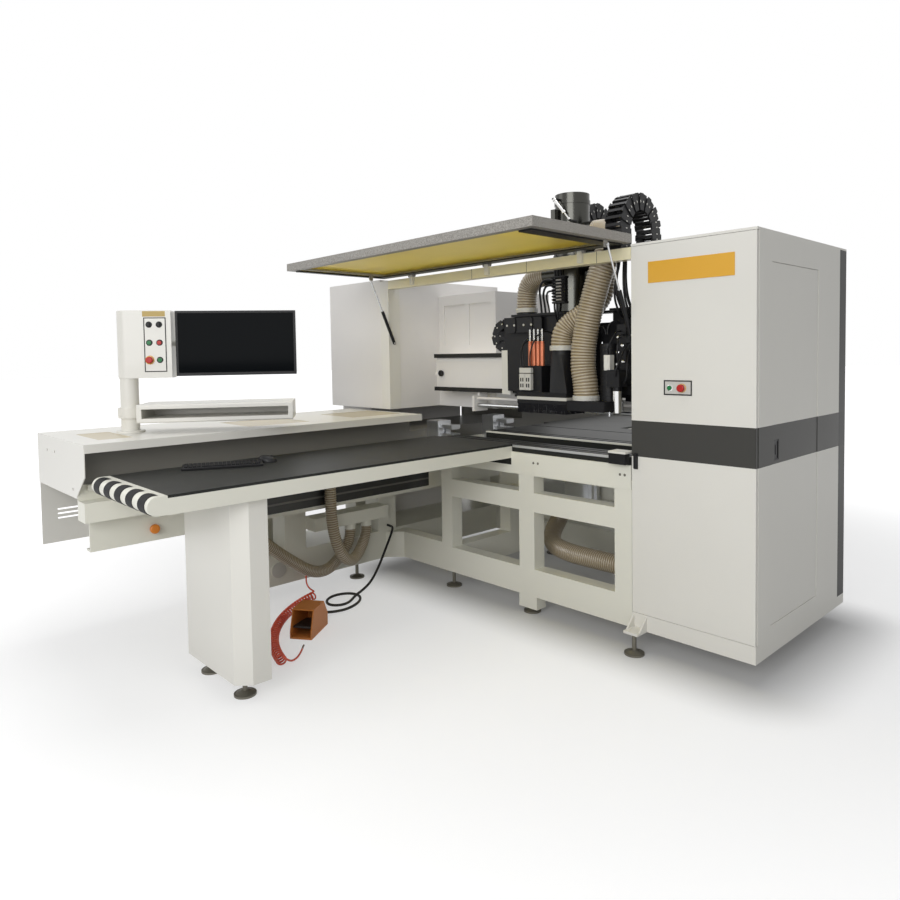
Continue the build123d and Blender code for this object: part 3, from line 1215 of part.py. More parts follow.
def pedal_tread():
    half = PEDAL_WIDTH / 2 - PEDAL_WALL - 1
    y, z = PEDAL_PIVOT
    outline = ((y + 6, z - 4), (y + 6, z + 6), (PEDAL_FRONT + 30, z + 26), (PEDAL_FRONT + 30, z + 16))
    tread = prism_x(outline, PEDAL_X - half, PEDAL_X + half)
    pin = PEDAL_WIDTH - 6
    return at_pedal(tread + rod((PEDAL_X - pin / 2, y, z), "X", PEDAL_PIN_R, pin))


# Cables and hoses that lie or hang free

PEDAL_CABLE = (pedal_spot(PEDAL_BACK, 40), pedal_spot(PEDAL_BACK + 60, 40), (-1500, -810, 14),
               (-1490, -715, 9),
               (-1535, -595, 9), (-1620, -525, 9), (-1700, -530, 9), (-1745, -590, 9), (-1745, -665, 9),
               (-1700, -730, 9), (-1630, -755, 9), (-1575, -715, 9), (-1572, -645, 10), (-1605, -575, 30),
               (-1640, -490, 36), (-1675, -400, 60), (-1700, -320, 130), (-1730, -240, 220),
               (-1770, -160, 295),
               (-1820, -100, 326), (-1860, -75, 330), (BASE_FACE, -75, 330))
VACUUM_A = ((-1670, -700, TRAY_RUN_LOW), (-1670, -700, 620), (-1664, -690, 440), (-1662, -640, 290),
            (-1700, -545, 215), (-1775, -440, 210), (-1835, -345, 265), (FITTING_X, FITTINGS_Y[0], 330),
            (FITTING_X, FITTINGS_Y[0], FITTING_LOW))
VACUUM_B = ((FITTING_X, FITTINGS_Y[1], FITTING_LOW), (FITTING_X, FITTINGS_Y[1], 310), (-1840, -520, 215),
            (-1790, -650, 165), (-1750, -790, 190), (-1725, -930, 285), (-1700, -1080, 400),
            (-1680, -1210, 520),
            (-1670, -1280, 630), (-1670, -1290, 690), (-1670, -1290, TRAY_RUN_LOW))


def vacuum_hose(points):
    return ribbed_hose(points, turn_radii(points), VACUUM_R, 18)


def tube(path, radius, name):
    start = Plane(origin=path @ 0, z_dir=path % 0)
    body = sweep(start * Circle(radius), path=path)
    exact = math.pi * radius * radius * path.length
    print(f"{name} length {path.length:.0f} mm, volume over section times length {body.volume / exact:.5f}")
    return body


def pedal_cable():
    radii = turn_radii(PEDAL_CABLE)
    print("pedal cable bend radii", [round(r) for r in radii])
    return tube(Wire(FilletPolyline(*PEDAL_CABLE, radius=radii).edges()), CABLE_R, "pedal cable")


def arc_from(start, corner, end):
    middle = (start + end) / 2
    half = math.radians((corner - start).get_angle(end - corner)) / 2
    lift = (corner - middle) * (math.tan(half / 2) / math.tan(half))
    return ThreePointArc(start, middle + lift, end)


def biarc(p0, t0, p1, t1):
    v = p1 - p0
    t = t0 + t1
    spread = 2 * (1 - t0.dot(t1))
    along = v.dot(t)
    if spread < 1e-9:
        reach = v.dot(v) / (2 * along)
    else:
        reach = (-along + math.sqrt(along * along + spread * v.dot(v))) / spread
    first = p0 + t0 * reach
    last = p1 - t1 * reach
    meet = (first + last) / 2
    return [arc_from(p0, first, meet), arc_from(meet, last, p1)]


def coil_point(turns):
    share = turns / COIL_TURNS
    angle = math.radians(COIL_START + (COIL_END - COIL_START) * share)
    curl = 2 * math.pi * turns
    out = COIL_SWEEP_R + CURL_R * math.sin(curl)
    height = AIR_R + 1 + CURL_R * (1 + math.cos(curl))
    return Vector(COIL_CENTRE[0] + out * math.cos(angle), COIL_CENTRE[1] + out * math.sin(angle), height)


def coil_heading(turns):
    return (coil_point(turns + 0.001) - coil_point(turns - 0.001)).normalized()


def least_gap(points, skip):
    least = 1e9
    for i, a in enumerate(points):
        for b in points[i + skip:]:
            least = min(least, (a - b).length)
    return least


def air_hose():
    tap = Vector(*AIR_TAP)
    lead_end = coil_point(0)
    lead_mid = Vector(tap.X + 45, tap.Y - 20, (tap.Z + lead_end.Z) / 2)
    drop = (lead_end - tap).normalized()
    edges = biarc(tap, Vector(1, 0, 0), lead_mid, (drop + Vector(0, 0, -1)).normalized())
    edges += biarc(lead_mid, (drop + Vector(0, 0, -1)).normalized(), lead_end, coil_heading(0))
    steps = COIL_TURNS * COIL_POINTS
    for i in range(steps):
        a = i / COIL_POINTS
        b = (i + 1) / COIL_POINTS
        edges += biarc(coil_point(a), coil_heading(a), coil_point(b), coil_heading(b))
    samples = [coil_point(i / 24) for i in range(24 * COIL_TURNS)]
    print(f"air hose least gap between curls {least_gap(samples, 12) - 2 * AIR_R:.1f} mm")
    return tube(Wire(edges), AIR_R, "air hose")


def export_all(parts):
    os.makedirs("parts", exist_ok=True)
    left = min(HOUSING_LEFT, COVER_LEFT)
    centre_x = (left + CABINET_WIDTH) / 2
    centre_y = CABINET_DEPTH / 2
    for name, shape in parts.items():
        export_step(Pos(-centre_x, -centre_y, 0) * shape, f"parts/{name}.step")


def build():
    parts = {
        "main_frame": main_frame(),
        "inner_decks": inner_decks(),
        "table_frames": table_frames(),
        "table_tops": table_tops(),
        "table_legs": table_legs(),
        "end_rollers": end_rollers(),
        "levelling_feet": levelling_feet(),
        "base_rail": base_rail(),
        "beam_girder": beam_girder(),
        "beam_covers": beam_covers(),
        "beam_end_panels": beam_end_panels(),
        "left_housing": left_housing(),
        "left_tower": left_tower(),
        "opening_frame": opening_frame(),
        "cross_beam": cross_beam(),
        "press_roller": press_roller(),
        "hood_frame": hood_frame(),
        "hood_window": hood_window(),
        "left_strut_cylinder": strut_cylinder(LEFT_STRUT_X),
        "left_strut_rod": strut_rod(LEFT_STRUT_X),
        "right_strut_cylinder": strut_cylinder(RIGHT_STRUT_X),
        "right_strut_rod": strut_rod(RIGHT_STRUT_X),
        "upper_carriage": upper_carriage(),
        "dust_duct": dust_duct(),
        "upper_head": upper_head(),
        "milling_tool": milling_tool(),
        "dust_boot": dust_boot(),
        "brush_skirt": brush_skirt(),
        "drill_bank": drill_bank(),
        "dust_hoses": dust_hoses(),
        "lower_dust_hose": lower_dust_hose(),
        "cable_chain_x": cable_chain_x(),
        "cable_chain_arch": cable_chain_arch(),
        "lower_carriage": lower_carriage(),
        "lower_head": lower_head(),
        "cabinet_shell": cabinet_shell(),
        "cabinet_front_door": cabinet_front_door(),
        "cabinet_side_door": cabinet_side_door(),
        "cabinet_start_button": on_cabinet(push_button(BUTTON_R), 0),
        "cabinet_stop_button": on_cabinet(stop_button(), 1),
        "console_post": console_post(),
        "control_box": control_box(),
        "monitor": monitor(),
        "keyboard_tray": keyboard_tray(),
        "left_selector": on_console(selector(), *CONTROLS[0]),
        "right_selector": on_console(selector(), *CONTROLS[1]),
        "start_button": on_console(push_button(BUTTON_R), *CONTROLS[2]),
        "stop_button": on_console(push_button(BUTTON_R), *CONTROLS[3]),
        "emergency_stop": on_console(stop_button(), *CONTROLS[4]),
        "reset_button": on_console(push_button(BUTTON_R), *CONTROLS[5]),
        "pedal_guard": pedal_guard(),
        "pedal_tread": pedal_tread(),
        "pedal_cable": pedal_cable(),
        "air_hose": air_hose(),
        "vacuum_hose_a": vacuum_hose(VACUUM_A),
        "vacuum_hose_b": vacuum_hose(VACUUM_B),
    }
    for side, y in zip(("front", "rear"), CLAMP_SPOTS):
        parts[f"{side}_clamp"] = clamp(y)
        parts[f"{side}_clamp_jaw"] = clamp_jaw(y)
    return parts


export_all(build())
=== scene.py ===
import bpy
import math
import numpy as np
from mathutils import Matrix


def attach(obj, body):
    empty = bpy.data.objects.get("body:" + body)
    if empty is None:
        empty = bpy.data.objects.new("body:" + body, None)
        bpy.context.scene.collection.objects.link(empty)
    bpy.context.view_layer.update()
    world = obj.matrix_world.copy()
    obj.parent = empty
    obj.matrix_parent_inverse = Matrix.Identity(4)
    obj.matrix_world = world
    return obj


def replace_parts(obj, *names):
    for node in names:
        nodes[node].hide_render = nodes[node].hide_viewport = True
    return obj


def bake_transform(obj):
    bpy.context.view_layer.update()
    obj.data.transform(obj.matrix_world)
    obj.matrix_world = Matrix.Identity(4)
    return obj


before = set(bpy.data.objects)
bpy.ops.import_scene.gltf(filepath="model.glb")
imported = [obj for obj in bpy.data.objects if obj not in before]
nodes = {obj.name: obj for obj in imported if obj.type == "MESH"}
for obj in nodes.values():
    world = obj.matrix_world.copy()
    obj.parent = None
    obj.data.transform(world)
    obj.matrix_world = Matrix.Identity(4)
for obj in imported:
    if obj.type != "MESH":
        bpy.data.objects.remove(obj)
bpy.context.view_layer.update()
corner = np.array((1.020, -0.564, 0.0))  # the cabinet's front left edge in the row frame
print("frame loaded:", len(nodes), "nodes")


def spots(points):
    # millimetres from the cabinet's front left edge to metres in the row frame
    return np.asarray(points, float) / 1000.0 + corner


def circle(count):
    # even angles once round
    return np.linspace(0, 2 * math.pi, count, endpoint=False)


# mesh building

def newObject(name, data):
    obj = bpy.data.objects.new(name, data)
    bpy.context.collection.objects.link(obj)
    return obj


def putMesh(name, points, faces, paint, body, smooth=35, bevel=0.0):
    mesh = bpy.data.meshes.new(name)
    faceList = faces if isinstance(faces, list) else faces.tolist()
    mesh.from_pydata(np.reshape(points, (-1, 3)).tolist(), [], faceList)
    mesh.validate()
    mesh.update()
    obj = newObject(name, mesh)
    mesh.materials.append(paints[paint])
    if smooth:
        mesh.shade_smooth()
        mesh.set_sharp_from_angle(angle=math.radians(smooth))
    if bevel:
        rounding = obj.modifiers.new("rounding", "BEVEL")
        rounding.width = bevel
        rounding.segments = 2
        rounding.limit_method = "ANGLE"
        rounding.harden_normals = bool(smooth)
    if body:
        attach(obj, body)
    return obj


def gridFaces(rows, columns, wrapRows=False, wrapColumns=False):
    # quads between neighbouring rows and columns of a grid, closed round where asked
    r = np.arange(rows if wrapRows else rows - 1)[:, None]
    c = np.arange(columns if wrapColumns else columns - 1)[None, :]
    a = r * columns + c
    b = r * columns + (c + 1) % columns
    d = ((r + 1) % rows) * columns + c
    e = ((r + 1) % rows) * columns + (c + 1) % columns
    return np.stack([a, b, e, d], axis=-1).reshape(-1, 4)


def blocks(name, extents, paint, body, bevel=0.002, turn=None):
    # each row is x0, x1, y0, y1, z0, z1 in millimetres: eight corners, six outward faces
    e = np.atleast_2d(np.asarray(extents, float))
    picks = np.array([[i, j, k] for k in (0, 1) for j in (0, 1) for i in (0, 1)])
    points = np.stack([e[:, 2 * k + picks[:, k]] for k in range(3)], axis=-1).reshape(-1, 3)
    cube = np.array([[0, 2, 3, 1], [4, 5, 7, 6], [0, 1, 5, 4], [2, 6, 7, 3], [0, 4, 6, 2], [1, 3, 7, 5]])
    faces = (np.arange(len(e))[:, None, None] * 8 + cube[None]).reshape(-1, 4)
    if turn is not None:
        points = turn(points)
    return putMesh(name, spots(points), faces, paint, body, smooth=30, bevel=bevel)


def rim(u0, u1, v0, v1, thick):
    # four bars round a rectangle, each as its own two spans
    return [(u0, u1, v0, v0 + thick), (u0, u1, v1 - thick, v1),
            (u0, u0 + thick, v0 + thick, v1 - thick), (u1 - thick, u1, v0 + thick, v1 - thick)]


def upright(bars, y0, y1):
    # bars drawn across x and z, given a depth in y
    return [(a, b, y0, y1, c, d) for a, b, c, d in bars]


def turned(name, profile, places, axis, paint, body, segments=24, turn=None, smooth=35, closed=False):
    # a profile of (radius, height) pairs spun round an axis, once at each place, in millimetres;
    # a closed profile is a ring's cross section, an open one is capped at both ends
    profile = np.asarray(profile, float)
    places = np.atleast_2d(np.asarray(places, float))
    angle = circle(segments)
    across = np.stack([profile[:, :1] * np.cos(angle), profile[:, :1] * np.sin(angle),
                       np.repeat(profile[:, 1:], segments, axis=1)], axis=-1)
    order = {"X": (2, 0, 1), "Z": (0, 1, 2), "-Y": (0, 2, 1)}[axis]
    across = (across * np.array((1.0, 1.0, -1.0 if axis == "-Y" else 1.0)))[..., order]
    points = (places[:, None, None, :] + across[None]).reshape(-1, 3)
    if turn is not None:
        points = turn(points)
    sides = gridFaces(len(profile), segments, wrapRows=closed, wrapColumns=True)
    caps = [] if closed else [np.arange(segments)[::-1], (len(profile) - 1) * segments + np.arange(segments)]
    faces = []
    for index in range(len(places)):
        first = index * len(profile) * segments
        faces += (sides + first).tolist() + [(cap + first).tolist() for cap in caps]
    return putMesh(name, spots(points), faces, paint, body, smooth=smooth)


def facing(place, heading):
    # turns pieces built along x to a level heading, at a place
    size = math.hypot(heading[0], heading[1])
    c, s = heading[0] / size, heading[1] / size

    def turn(points):
        return np.column_stack([place[0] + c * points[:, 0] - s * points[:, 1],
                                place[1] + s * points[:, 0] + c * points[:, 1], place[2] + points[:, 2]])
    return turn


def heading(degrees):
    return math.cos(math.radians(degrees)), math.sin(math.radians(degrees))


def aimed(start, end):
    # turns pieces built along x to run from one point towards another
    ahead = np.asarray(end, float) - np.asarray(start, float)
    ahead /= np.linalg.norm(ahead)
    side = np.cross((0.0, 0.0, 1.0), ahead)
    side /= np.linalg.norm(side)
    basis = np.stack([ahead, side, np.cross(ahead, side)])
    return lambda points: np.asarray(start, float) + points @ basis


def splineCurve(name, route, order=3, resolution=12):
    # a NURBS line with the route's points as its control points
    curve = bpy.data.curves.new(name, "CURVE")
    curve.dimensions = "3D"
    curve.resolution_u = resolution
    spline = curve.splines.new("NURBS")
    spline.points.add(len(route) - 1)
    spline.points.foreach_set("co", np.column_stack([route, np.ones(len(route))]).ravel())
    spline.order_u = order
    spline.use_endpoint_u = True
    return newObject(name, curve)


def readLine(obj):
    # points along a curve that has no bevel
    mesh = bpy.data.meshes.new_from_object(obj)
    line = np.empty(len(mesh.vertices) * 3)
    mesh.vertices.foreach_get("co", line)
    bpy.data.meshes.remove(mesh)
    return line.reshape(-1, 3)


def distances(line):
    # how far along the line each of its points lies
    return np.concatenate([[0], np.cumsum(np.linalg.norm(np.diff(line, axis=0), axis=1))])


def pointsAt(line, at):
    steps = distances(line)
    return np.stack([np.interp(at, steps, column) for column in line.T], axis=1)


def evenLine(line, count):
    # the same line at even distances
    return pointsAt(line, np.linspace(0, distances(line)[-1], count))


def cable(name, route, diameter, paint, body, cadNode=None,
          resolution=12):
    obj = splineCurve(name, route, resolution=resolution)
    length = float(distances(readLine(obj))[-1])
    obj.data.bevel_depth = diameter / 2
    obj.data.bevel_resolution = 4
    obj.data.use_fill_caps = True
    obj.data.materials.append(paints[paint])
    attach(obj, body)
    if cadNode:
        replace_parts(obj, cadNode)
    return obj


aside = (0.31, 0.94, 0.12)  # a direction that no hose sets out in


def steadyFrames(line):
    # two steady cross directions along a line, each carried over from the last without twist
    tangents = np.gradient(line, axis=0)
    tangents /= np.linalg.norm(tangents, axis=1)[:, None]
    side = np.empty_like(line)
    side[0] = np.cross(tangents[0], aside)
    for i in range(1, len(line)):
        side[i] = side[i - 1] - tangents[i] * (side[i - 1] @ tangents[i])
        side[i] /= np.linalg.norm(side[i])
    side[0] /= np.linalg.norm(side[0])
    return side, np.cross(tangents, side)


def ribbedTube(name, route, radius, coil, paint, segments=40, perRib=8):
    # radius swells with a rounded wave once each pitch along the line; the bore is smooth
    guide = splineCurve(name + "Guide", route)
    line = readLine(guide)
    bpy.data.objects.remove(guide)
    length = float(distances(line)[-1])
    ribs = max(3, round(length / coil["pitch"]))
    line = evenLine(line, ribs * perRib + 1)
    side, up = steadyFrames(line)
    wave = 0.5 - 0.5 * np.cos(np.linspace(0, ribs * 2 * math.pi, len(line)))
    outer = radius - coil["depth"] * (1 - np.sqrt(wave))
    angle = circle(segments)
    ring = side[:, None] * np.cos(angle)[None, :, None] + up[:, None] * np.sin(angle)[None, :, None]
    skin = line[:, None] + ring * outer[:, None, None]
    bore = (line[:, None] + ring * (radius - coil["depth"] - coil["wall"]))[::-1]
    points = np.concatenate([skin, bore])
    faces = gridFaces(len(points), segments, wrapRows=True, wrapColumns=True)[:, ::-1]
    obj = putMesh(name, points, faces, paint, None, smooth=80)
    rib = obj.data.attributes.new("rib", "FLOAT", "POINT")
    rib.data.foreach_set("value", np.repeat(np.concatenate([wave, np.zeros(len(line))]), segments))
    return obj, line, length


print("builders ready")

# shared shader effects

def nodeGroup(name, inputs, outputs):
    group = bpy.data.node_groups.new(name, "ShaderNodeTree")
    for label, kind, value in inputs:
        socket = group.interface.new_socket(label, in_out="INPUT", socket_type=kind)
        socket.default_value = value
    for label, kind in outputs:
        group.interface.new_socket(label, in_out="OUTPUT", socket_type=kind)
    return group, group.nodes.new("NodeGroupInput"), group.nodes.new("NodeGroupOutput")


def wire(tree, source, target):
    tree.links.new(source, target)


def feed(tree, value, socket):
    # a number or colour is set on the socket, anything else is wired to it
    if isinstance(value, (int, float)):
        socket.default_value = value
    elif isinstance(value, tuple):
        socket.default_value = (*value, 1.0)
    else:
        wire(tree, value, socket)


def setInputs(node, values):
    for label, value in values.items():
        node.inputs[label].default_value = value


def mathNode(tree, operation, a, b=None, clamp=False):
    node = tree.nodes.new("ShaderNodeMath")
    node.operation = operation
    node.use_clamp = clamp
    feed(tree, a, node.inputs[0])
    if b is not None:
        feed(tree, b, node.inputs[1])
    return node.outputs[0]


def noiseNode(tree, vector, scale, detail=4.0, roughness=0.55):
    node = tree.nodes.new("ShaderNodeTexNoise")
    setInputs(node, {"Detail": detail, "Roughness": roughness})
    feed(tree, scale, node.inputs["Scale"])
    wire(tree, vector, node.inputs["Vector"])
    return node.outputs["Fac"]


def mixColour(tree, factor, a, b, blend="MIX"):
    node = tree.nodes.new("ShaderNodeMix")
    node.data_type = "RGBA"
    node.blend_type = blend
    feed(tree, factor, node.inputs[0])
    feed(tree, a, node.inputs[6])
    feed(tree, b, node.inputs[7])
    return node.outputs[2]


def greyNode(tree, level):
    node = tree.nodes.new("ShaderNodeCombineColor")
    for k in range(3):
        wire(tree, level, node.inputs[k])
    return node.outputs[0]


driftLook = {"broad": 2.3, "broadDetail": 5.0, "fineDetail": 2.0, "dustTone": (0.42, 0.39, 0.34),
             "dustFall": 4.0}


def buildFinishGroup():
    # colour drifts slowly and is flecked, roughness follows the drift, floor dust lightens the lowest part
    group, inlet, outlet = nodeGroup("finishDrift", [
        ("Colour", "NodeSocketColor", (0.8, 0.8, 0.8, 1)), ("Drift", "NodeSocketFloat", 0.06),
        ("Grain", "NodeSocketFloat", 900.0), ("Fleck", "NodeSocketFloat", 0.05),
        ("Roughness", "NodeSocketFloat", 0.4), ("Rough Drift", "NodeSocketFloat", 0.1),
        ("Dust", "NodeSocketFloat", 0.2)],
        [("Colour", "NodeSocketColor"), ("Roughness", "NodeSocketFloat"), ("Height", "NodeSocketFloat")])
    where = group.nodes.new("ShaderNodeTexCoord").outputs["Object"]
    broad = noiseNode(group, where, driftLook["broad"], driftLook["broadDetail"])
    fine = noiseNode(group, where, inlet.outputs["Grain"], driftLook["fineDetail"])
    swing = mathNode(group, "SUBTRACT", broad, 0.5)
    shade = mathNode(group, "MULTIPLY", swing, inlet.outputs["Drift"])
    speck = mathNode(group, "MULTIPLY", mathNode(group, "SUBTRACT", fine, 0.5), inlet.outputs["Fleck"])
    level = mathNode(group, "ADD", mathNode(group, "ADD", shade, speck), 1.0)
    tint = mixColour(group, 1.0, inlet.outputs["Colour"], greyNode(group, level), "MULTIPLY")
    split = group.nodes.new("ShaderNodeSeparateXYZ")
    wire(group, where, split.inputs[0])
    fallen = mathNode(group, "MULTIPLY", split.outputs["Z"], driftLook["dustFall"])
    low = mathNode(group, "SUBTRACT", 1.0, fallen, True)
    patch = mathNode(group, "MULTIPLY", mathNode(group, "MULTIPLY", low, broad), inlet.outputs["Dust"])
    wire(group, mixColour(group, patch, tint, driftLook["dustTone"]), outlet.inputs["Colour"])
    sway = mathNode(group, "MULTIPLY", swing, inlet.outputs["Rough Drift"])
    rough = mathNode(group, "ADD", inlet.outputs["Roughness"], sway)
    wire(group, mathNode(group, "ADD", rough, patch, True), outlet.inputs["Roughness"])
    wire(group, fine, outlet.inputs["Height"])
    return group


def buildBoxGroup():
    # one inside the box between two corners and zero outside
    group, inlet, outlet = nodeGroup("insideBox", [
        ("Low", "NodeSocketVector", (0, 0, 0)), ("High", "NodeSocketVector", (1, 1, 1))],
        [("Mask", "NodeSocketFloat")])
    where = group.nodes.new("ShaderNodeTexCoord").outputs["Object"]
    parts = []
    for source in (where, inlet.outputs["Low"], inlet.outputs["High"]):
        split = group.nodes.new("ShaderNodeSeparateXYZ")
        wire(group, source, split.inputs[0])
        parts.append(split.outputs)
    mask = None
    for axis in ("X", "Y", "Z"):
        above = mathNode(group, "GREATER_THAN", parts[0][axis], parts[1][axis])
        below = mathNode(group, "LESS_THAN", parts[0][axis], parts[2][axis])
        between = mathNode(group, "MULTIPLY", above, below)
        mask = between if mask is None else mathNode(group, "MULTIPLY", mask, between)
    wire(group, mask, outlet.inputs["Mask"])
    return group


finishDrift = buildFinishGroup()
insideBox = buildBoxGroup()


def newLook(name, values, settings):
    # a material whose colour and roughness come from the shared group, with the shader's own settings
    material = bpy.data.materials.new(name)
    material.use_nodes = True
    tree = material.node_tree
    shader = tree.nodes["Principled BSDF"]
    look = tree.nodes.new("ShaderNodeGroup")
    look.node_tree = finishDrift
    look.name = "look"
    for label, value in values.items():
        feed(tree, value, look.inputs[label])
    wire(tree, look.outputs["Colour"], shader.inputs["Base Color"])
    wire(tree, look.outputs["Roughness"], shader.inputs["Roughness"])
    setInputs(shader, settings)
    return material


def finish(name, colour, roughness=0.4, metallic=0.0, drift=0.06, grain=900.0, fleck=0.05, bump=0.05,
           dust=0.2, coat=0.0, roughDrift=0.12, bumpDistance=0.0006, specular=0.5):
    material = newLook(name, {
        "Colour": colour, "Drift": drift, "Grain": grain, "Fleck": fleck, "Roughness": roughness,
        "Rough Drift": roughDrift, "Dust": dust},
        {"Metallic": metallic, "Specular IOR Level": specular, "Coat Weight": coat})
    tree = material.node_tree
    relief = tree.nodes.new("ShaderNodeBump")
    setInputs(relief, {"Strength": bump, "Distance": bumpDistance})
    wire(tree, tree.nodes["look"].outputs["Height"], relief.inputs["Height"])
    wire(tree, relief.outputs[0], tree.nodes["Principled BSDF"].inputs["Normal"])
    material.diffuse_color = (*colour, 1)
    return material


def regions(material, boxes, cover=0.985):
    # each box, x0, x1, y0, y1, z0, z1 in millimetres, takes a colour over the base coat: paint of its own in
    # some boxes, painted shade and painted light in others
    tree = material.node_tree
    shader = tree.nodes["Principled BSDF"]
    colour = tree.nodes["look"].outputs["Colour"]
    for (x0, x1, y0, y1, z0, z1), tint in boxes:
        box = tree.nodes.new("ShaderNodeGroup")
        box.node_tree = insideBox
        setInputs(box, {"Low": tuple(spots((x0, y0, z0))), "High": tuple(spots((x1, y1, z1)))})
        toned = mixColour(tree, cover, colour, tint)
        colour = mixColour(tree, box.outputs["Mask"], colour, toned)
    wire(tree, colour, shader.inputs["Base Color"])
    return material


whitePaint = {"colour": (0.76, 0.745, 0.69), "roughness": 0.36, "grain": 1400, "bump": 0.06, "coat": 0.15}
coolPaint = {"colour": (0.79, 0.77, 0.745), "roughness": 0.42, "grain": 1400, "bump": 0.06, "coat": 0.0,
             "specular": 0.12}
creamPaint = {"colour": (0.76, 0.75, 0.66), "roughness": 0.40, "grain": 1100, "bump": 0.08, "coat": 0.1}
blackPaint = {"colour": (0.010, 0.010, 0.011), "roughness": 0.40, "grain": 700, "bump": 0.1, "specular": 0.2}
paints = {
    "white": finish("whitePowderCoat", **whitePaint),
    "cool": finish("coolPowderCoat", **coolPaint),
    "cream": finish("framePaint", **creamPaint),
    "speckled": finish("speckledGrey", (0.29, 0.275, 0.25), 0.46, grain=230, fleck=2.2, bump=0.5, drift=0.2,
                       bumpDistance=0.0015),
    "dark": finish("darkPaint", **blackPaint),
    "tableBlack": finish("tableLaminate", (0.020, 0.021, 0.019), 0.44, grain=520, bump=0.15, drift=0.4,
                         specular=0.16),
    "blackPlastic": finish("blackPlastic", (0.009, 0.009, 0.010), 0.42, grain=1600, bump=0.15, specular=0.25),
    "rubber": finish("blackRubber", (0.008, 0.008, 0.009), 0.62, grain=1200, bump=0.2, specular=0.2),
    "glass": finish("screenGlass", (0.003, 0.004, 0.005), 0.07, bump=0.0, dust=0.0, roughDrift=0.03,
                    specular=0.02),
    "steel": finish("groundSteel", (0.56, 0.57, 0.58), 0.28, metallic=1.0, grain=500),
    "chrome": finish("chromePlate", (0.70, 0.70, 0.69), 0.10, metallic=1.0, bump=0.0, dust=0.0),
    "ductSteel": finish("ductSteel", (0.062, 0.062, 0.056), 0.20, metallic=0.95, grain=60, drift=0.3),
    "bronze": finish("footSteel", (0.17, 0.16, 0.13), 0.42, metallic=0.6, grain=240, drift=0.3, dust=0.05),
    "aluminium": finish("milledAluminium", (0.62, 0.63, 0.64), 0.34, metallic=1.0, grain=420, bump=0.06),
    "redHose": finish("redHose", (1.0, 0.105, 0.034), 0.22, grain=900, bump=0.02, coat=0.3),
    "orange": finish("orangeEnamel", (0.70, 0.22, 0.025), 0.38, grain=500, bump=0.12, drift=0.2),
    "copper": finish("copperEnamel", (0.50, 0.15, 0.07), 0.28, grain=500, drift=0.2, metallic=0.4),
    "green": finish("greenButton", (0.006, 0.17, 0.045), 0.30, bump=0.02, specular=0.3),
    "red": finish("redButton", (0.46, 0.012, 0.010), 0.30, bump=0.02, specular=0.3),
    "yellow": finish("yellowPlate", (0.72, 0.38, 0.028), 0.34, bump=0.02, coat=0.1),
    "brass": finish("brassPlate", (0.48, 0.34, 0.10), 0.34, bump=0.02, specular=0.3),
    "paleGrey": finish("paleGreyPlastic", (0.56, 0.55, 0.51), 0.45, grain=1200, bump=0.1),
    "bristle": finish("bristle", (0.009, 0.009, 0.011), 0.50, grain=2000, bump=0.1, specular=0.2),
    "cable": finish("cableSheath", (0.008, 0.008, 0.009), 0.42, grain=1000, bump=0.08, specular=0.25),
}


hoseLook = {"film": (0.20, 0.145, 0.075), "wire": (0.46, 0.40, 0.30)}


def hoseSkin():
    # the wound wire shows as a pale crest and the film between as a browner valley, by the mesh's rib value
    material = finish("hoseSkin", hoseLook["film"], 0.32, grain=380, bump=0.15, drift=0.5, coat=0.3)
    tree = material.node_tree
    rib = tree.nodes.new("ShaderNodeAttribute")
    rib.attribute_name = "rib"
    colour = mixColour(tree, rib.outputs["Fac"], tree.nodes["look"].outputs["Colour"], hoseLook["wire"])
    wire(tree, colour, tree.nodes["Principled BSDF"].inputs["Base Color"])
    return material


paints["amber"] = newLook("amberSheet", {
    "Colour": (0.80, 0.66, 0.14), "Drift": 0.5, "Grain": 30.0, "Roughness": 0.3, "Rough Drift": 0.1,
    "Dust": 0.0}, {"Transmission Weight": 0.75, "IOR": 1.2})
paints["hose"] = hoseSkin()

# beam is a grey painted as shade under the covers' lip, and is also a thin grey line on the girder face
tones = {"band": (0.050, 0.049, 0.045), "beam": (0.13, 0.125, 0.112), "pad": (0.52, 0.44, 0.28),
         "rail": (0.010, 0.010, 0.009), "amberLitBeam": (0.84, 0.78, 0.54), "white": (0.74, 0.73, 0.68),
         "seam": (0.16, 0.155, 0.15)}
reach = 6000  # a box side that lies outside the machine
# the band runs round the outside of the cabinet, so its boxes are a skin on each side
bandZ = (989, 1170)
cabinetBand = [(-reach, reach, -reach, 5, *bandZ), (-reach, reach, 1123, reach, *bandZ),
               (-reach, 3, -reach, reach, *bandZ), (624, reach, -reach, reach, *bandZ)]
rearStrip = (629, reach, 1030, reach, 160, 2040)
# the dark strip on the girder face under the table stands for a chain tray and is also painted shade there
girderFace, girderRuns = (-1722, -1718), ((-1450, 150), (978, 2578))
padX, padZ = (-2131, -1749), (1118.9, 1120.2)
padRuns = ((-1986, -1819), (-1181, -779), (-461, -59), (1187, 1589), (1907, 2309), (2947, 3114))


def seamBoxes(u0, u1, z0, z1, plane, axis, gap=3):
    # four thin boxes that draw a door's outline on a face square to x or y
    skin, bars = (plane - 1, plane + 1), rim(u0, u1, z0, z1, gap)
    return [(*skin, *bar) for bar in bars] if axis == "X" else upright(bars, *skin)


housingDoors = (seamBoxes(70, 550, 1190, 2000, -2670, "X") + seamBoxes(578, 1058, 1190, 2000, -2670, "X")
                + seamBoxes(-2600, -2030, 1190, 2000, 1128, "Y")
                + seamBoxes(-1900, -1420, 1200, 1880, 1060, "Y"))
housingPulls = [(-2671, -2669, 524, 542, 1540, 1640), (-2671, -2669, 586, 604, 1540, 1640),
                (-2586, -2566, 1127, 1129, 1540, 1640)]
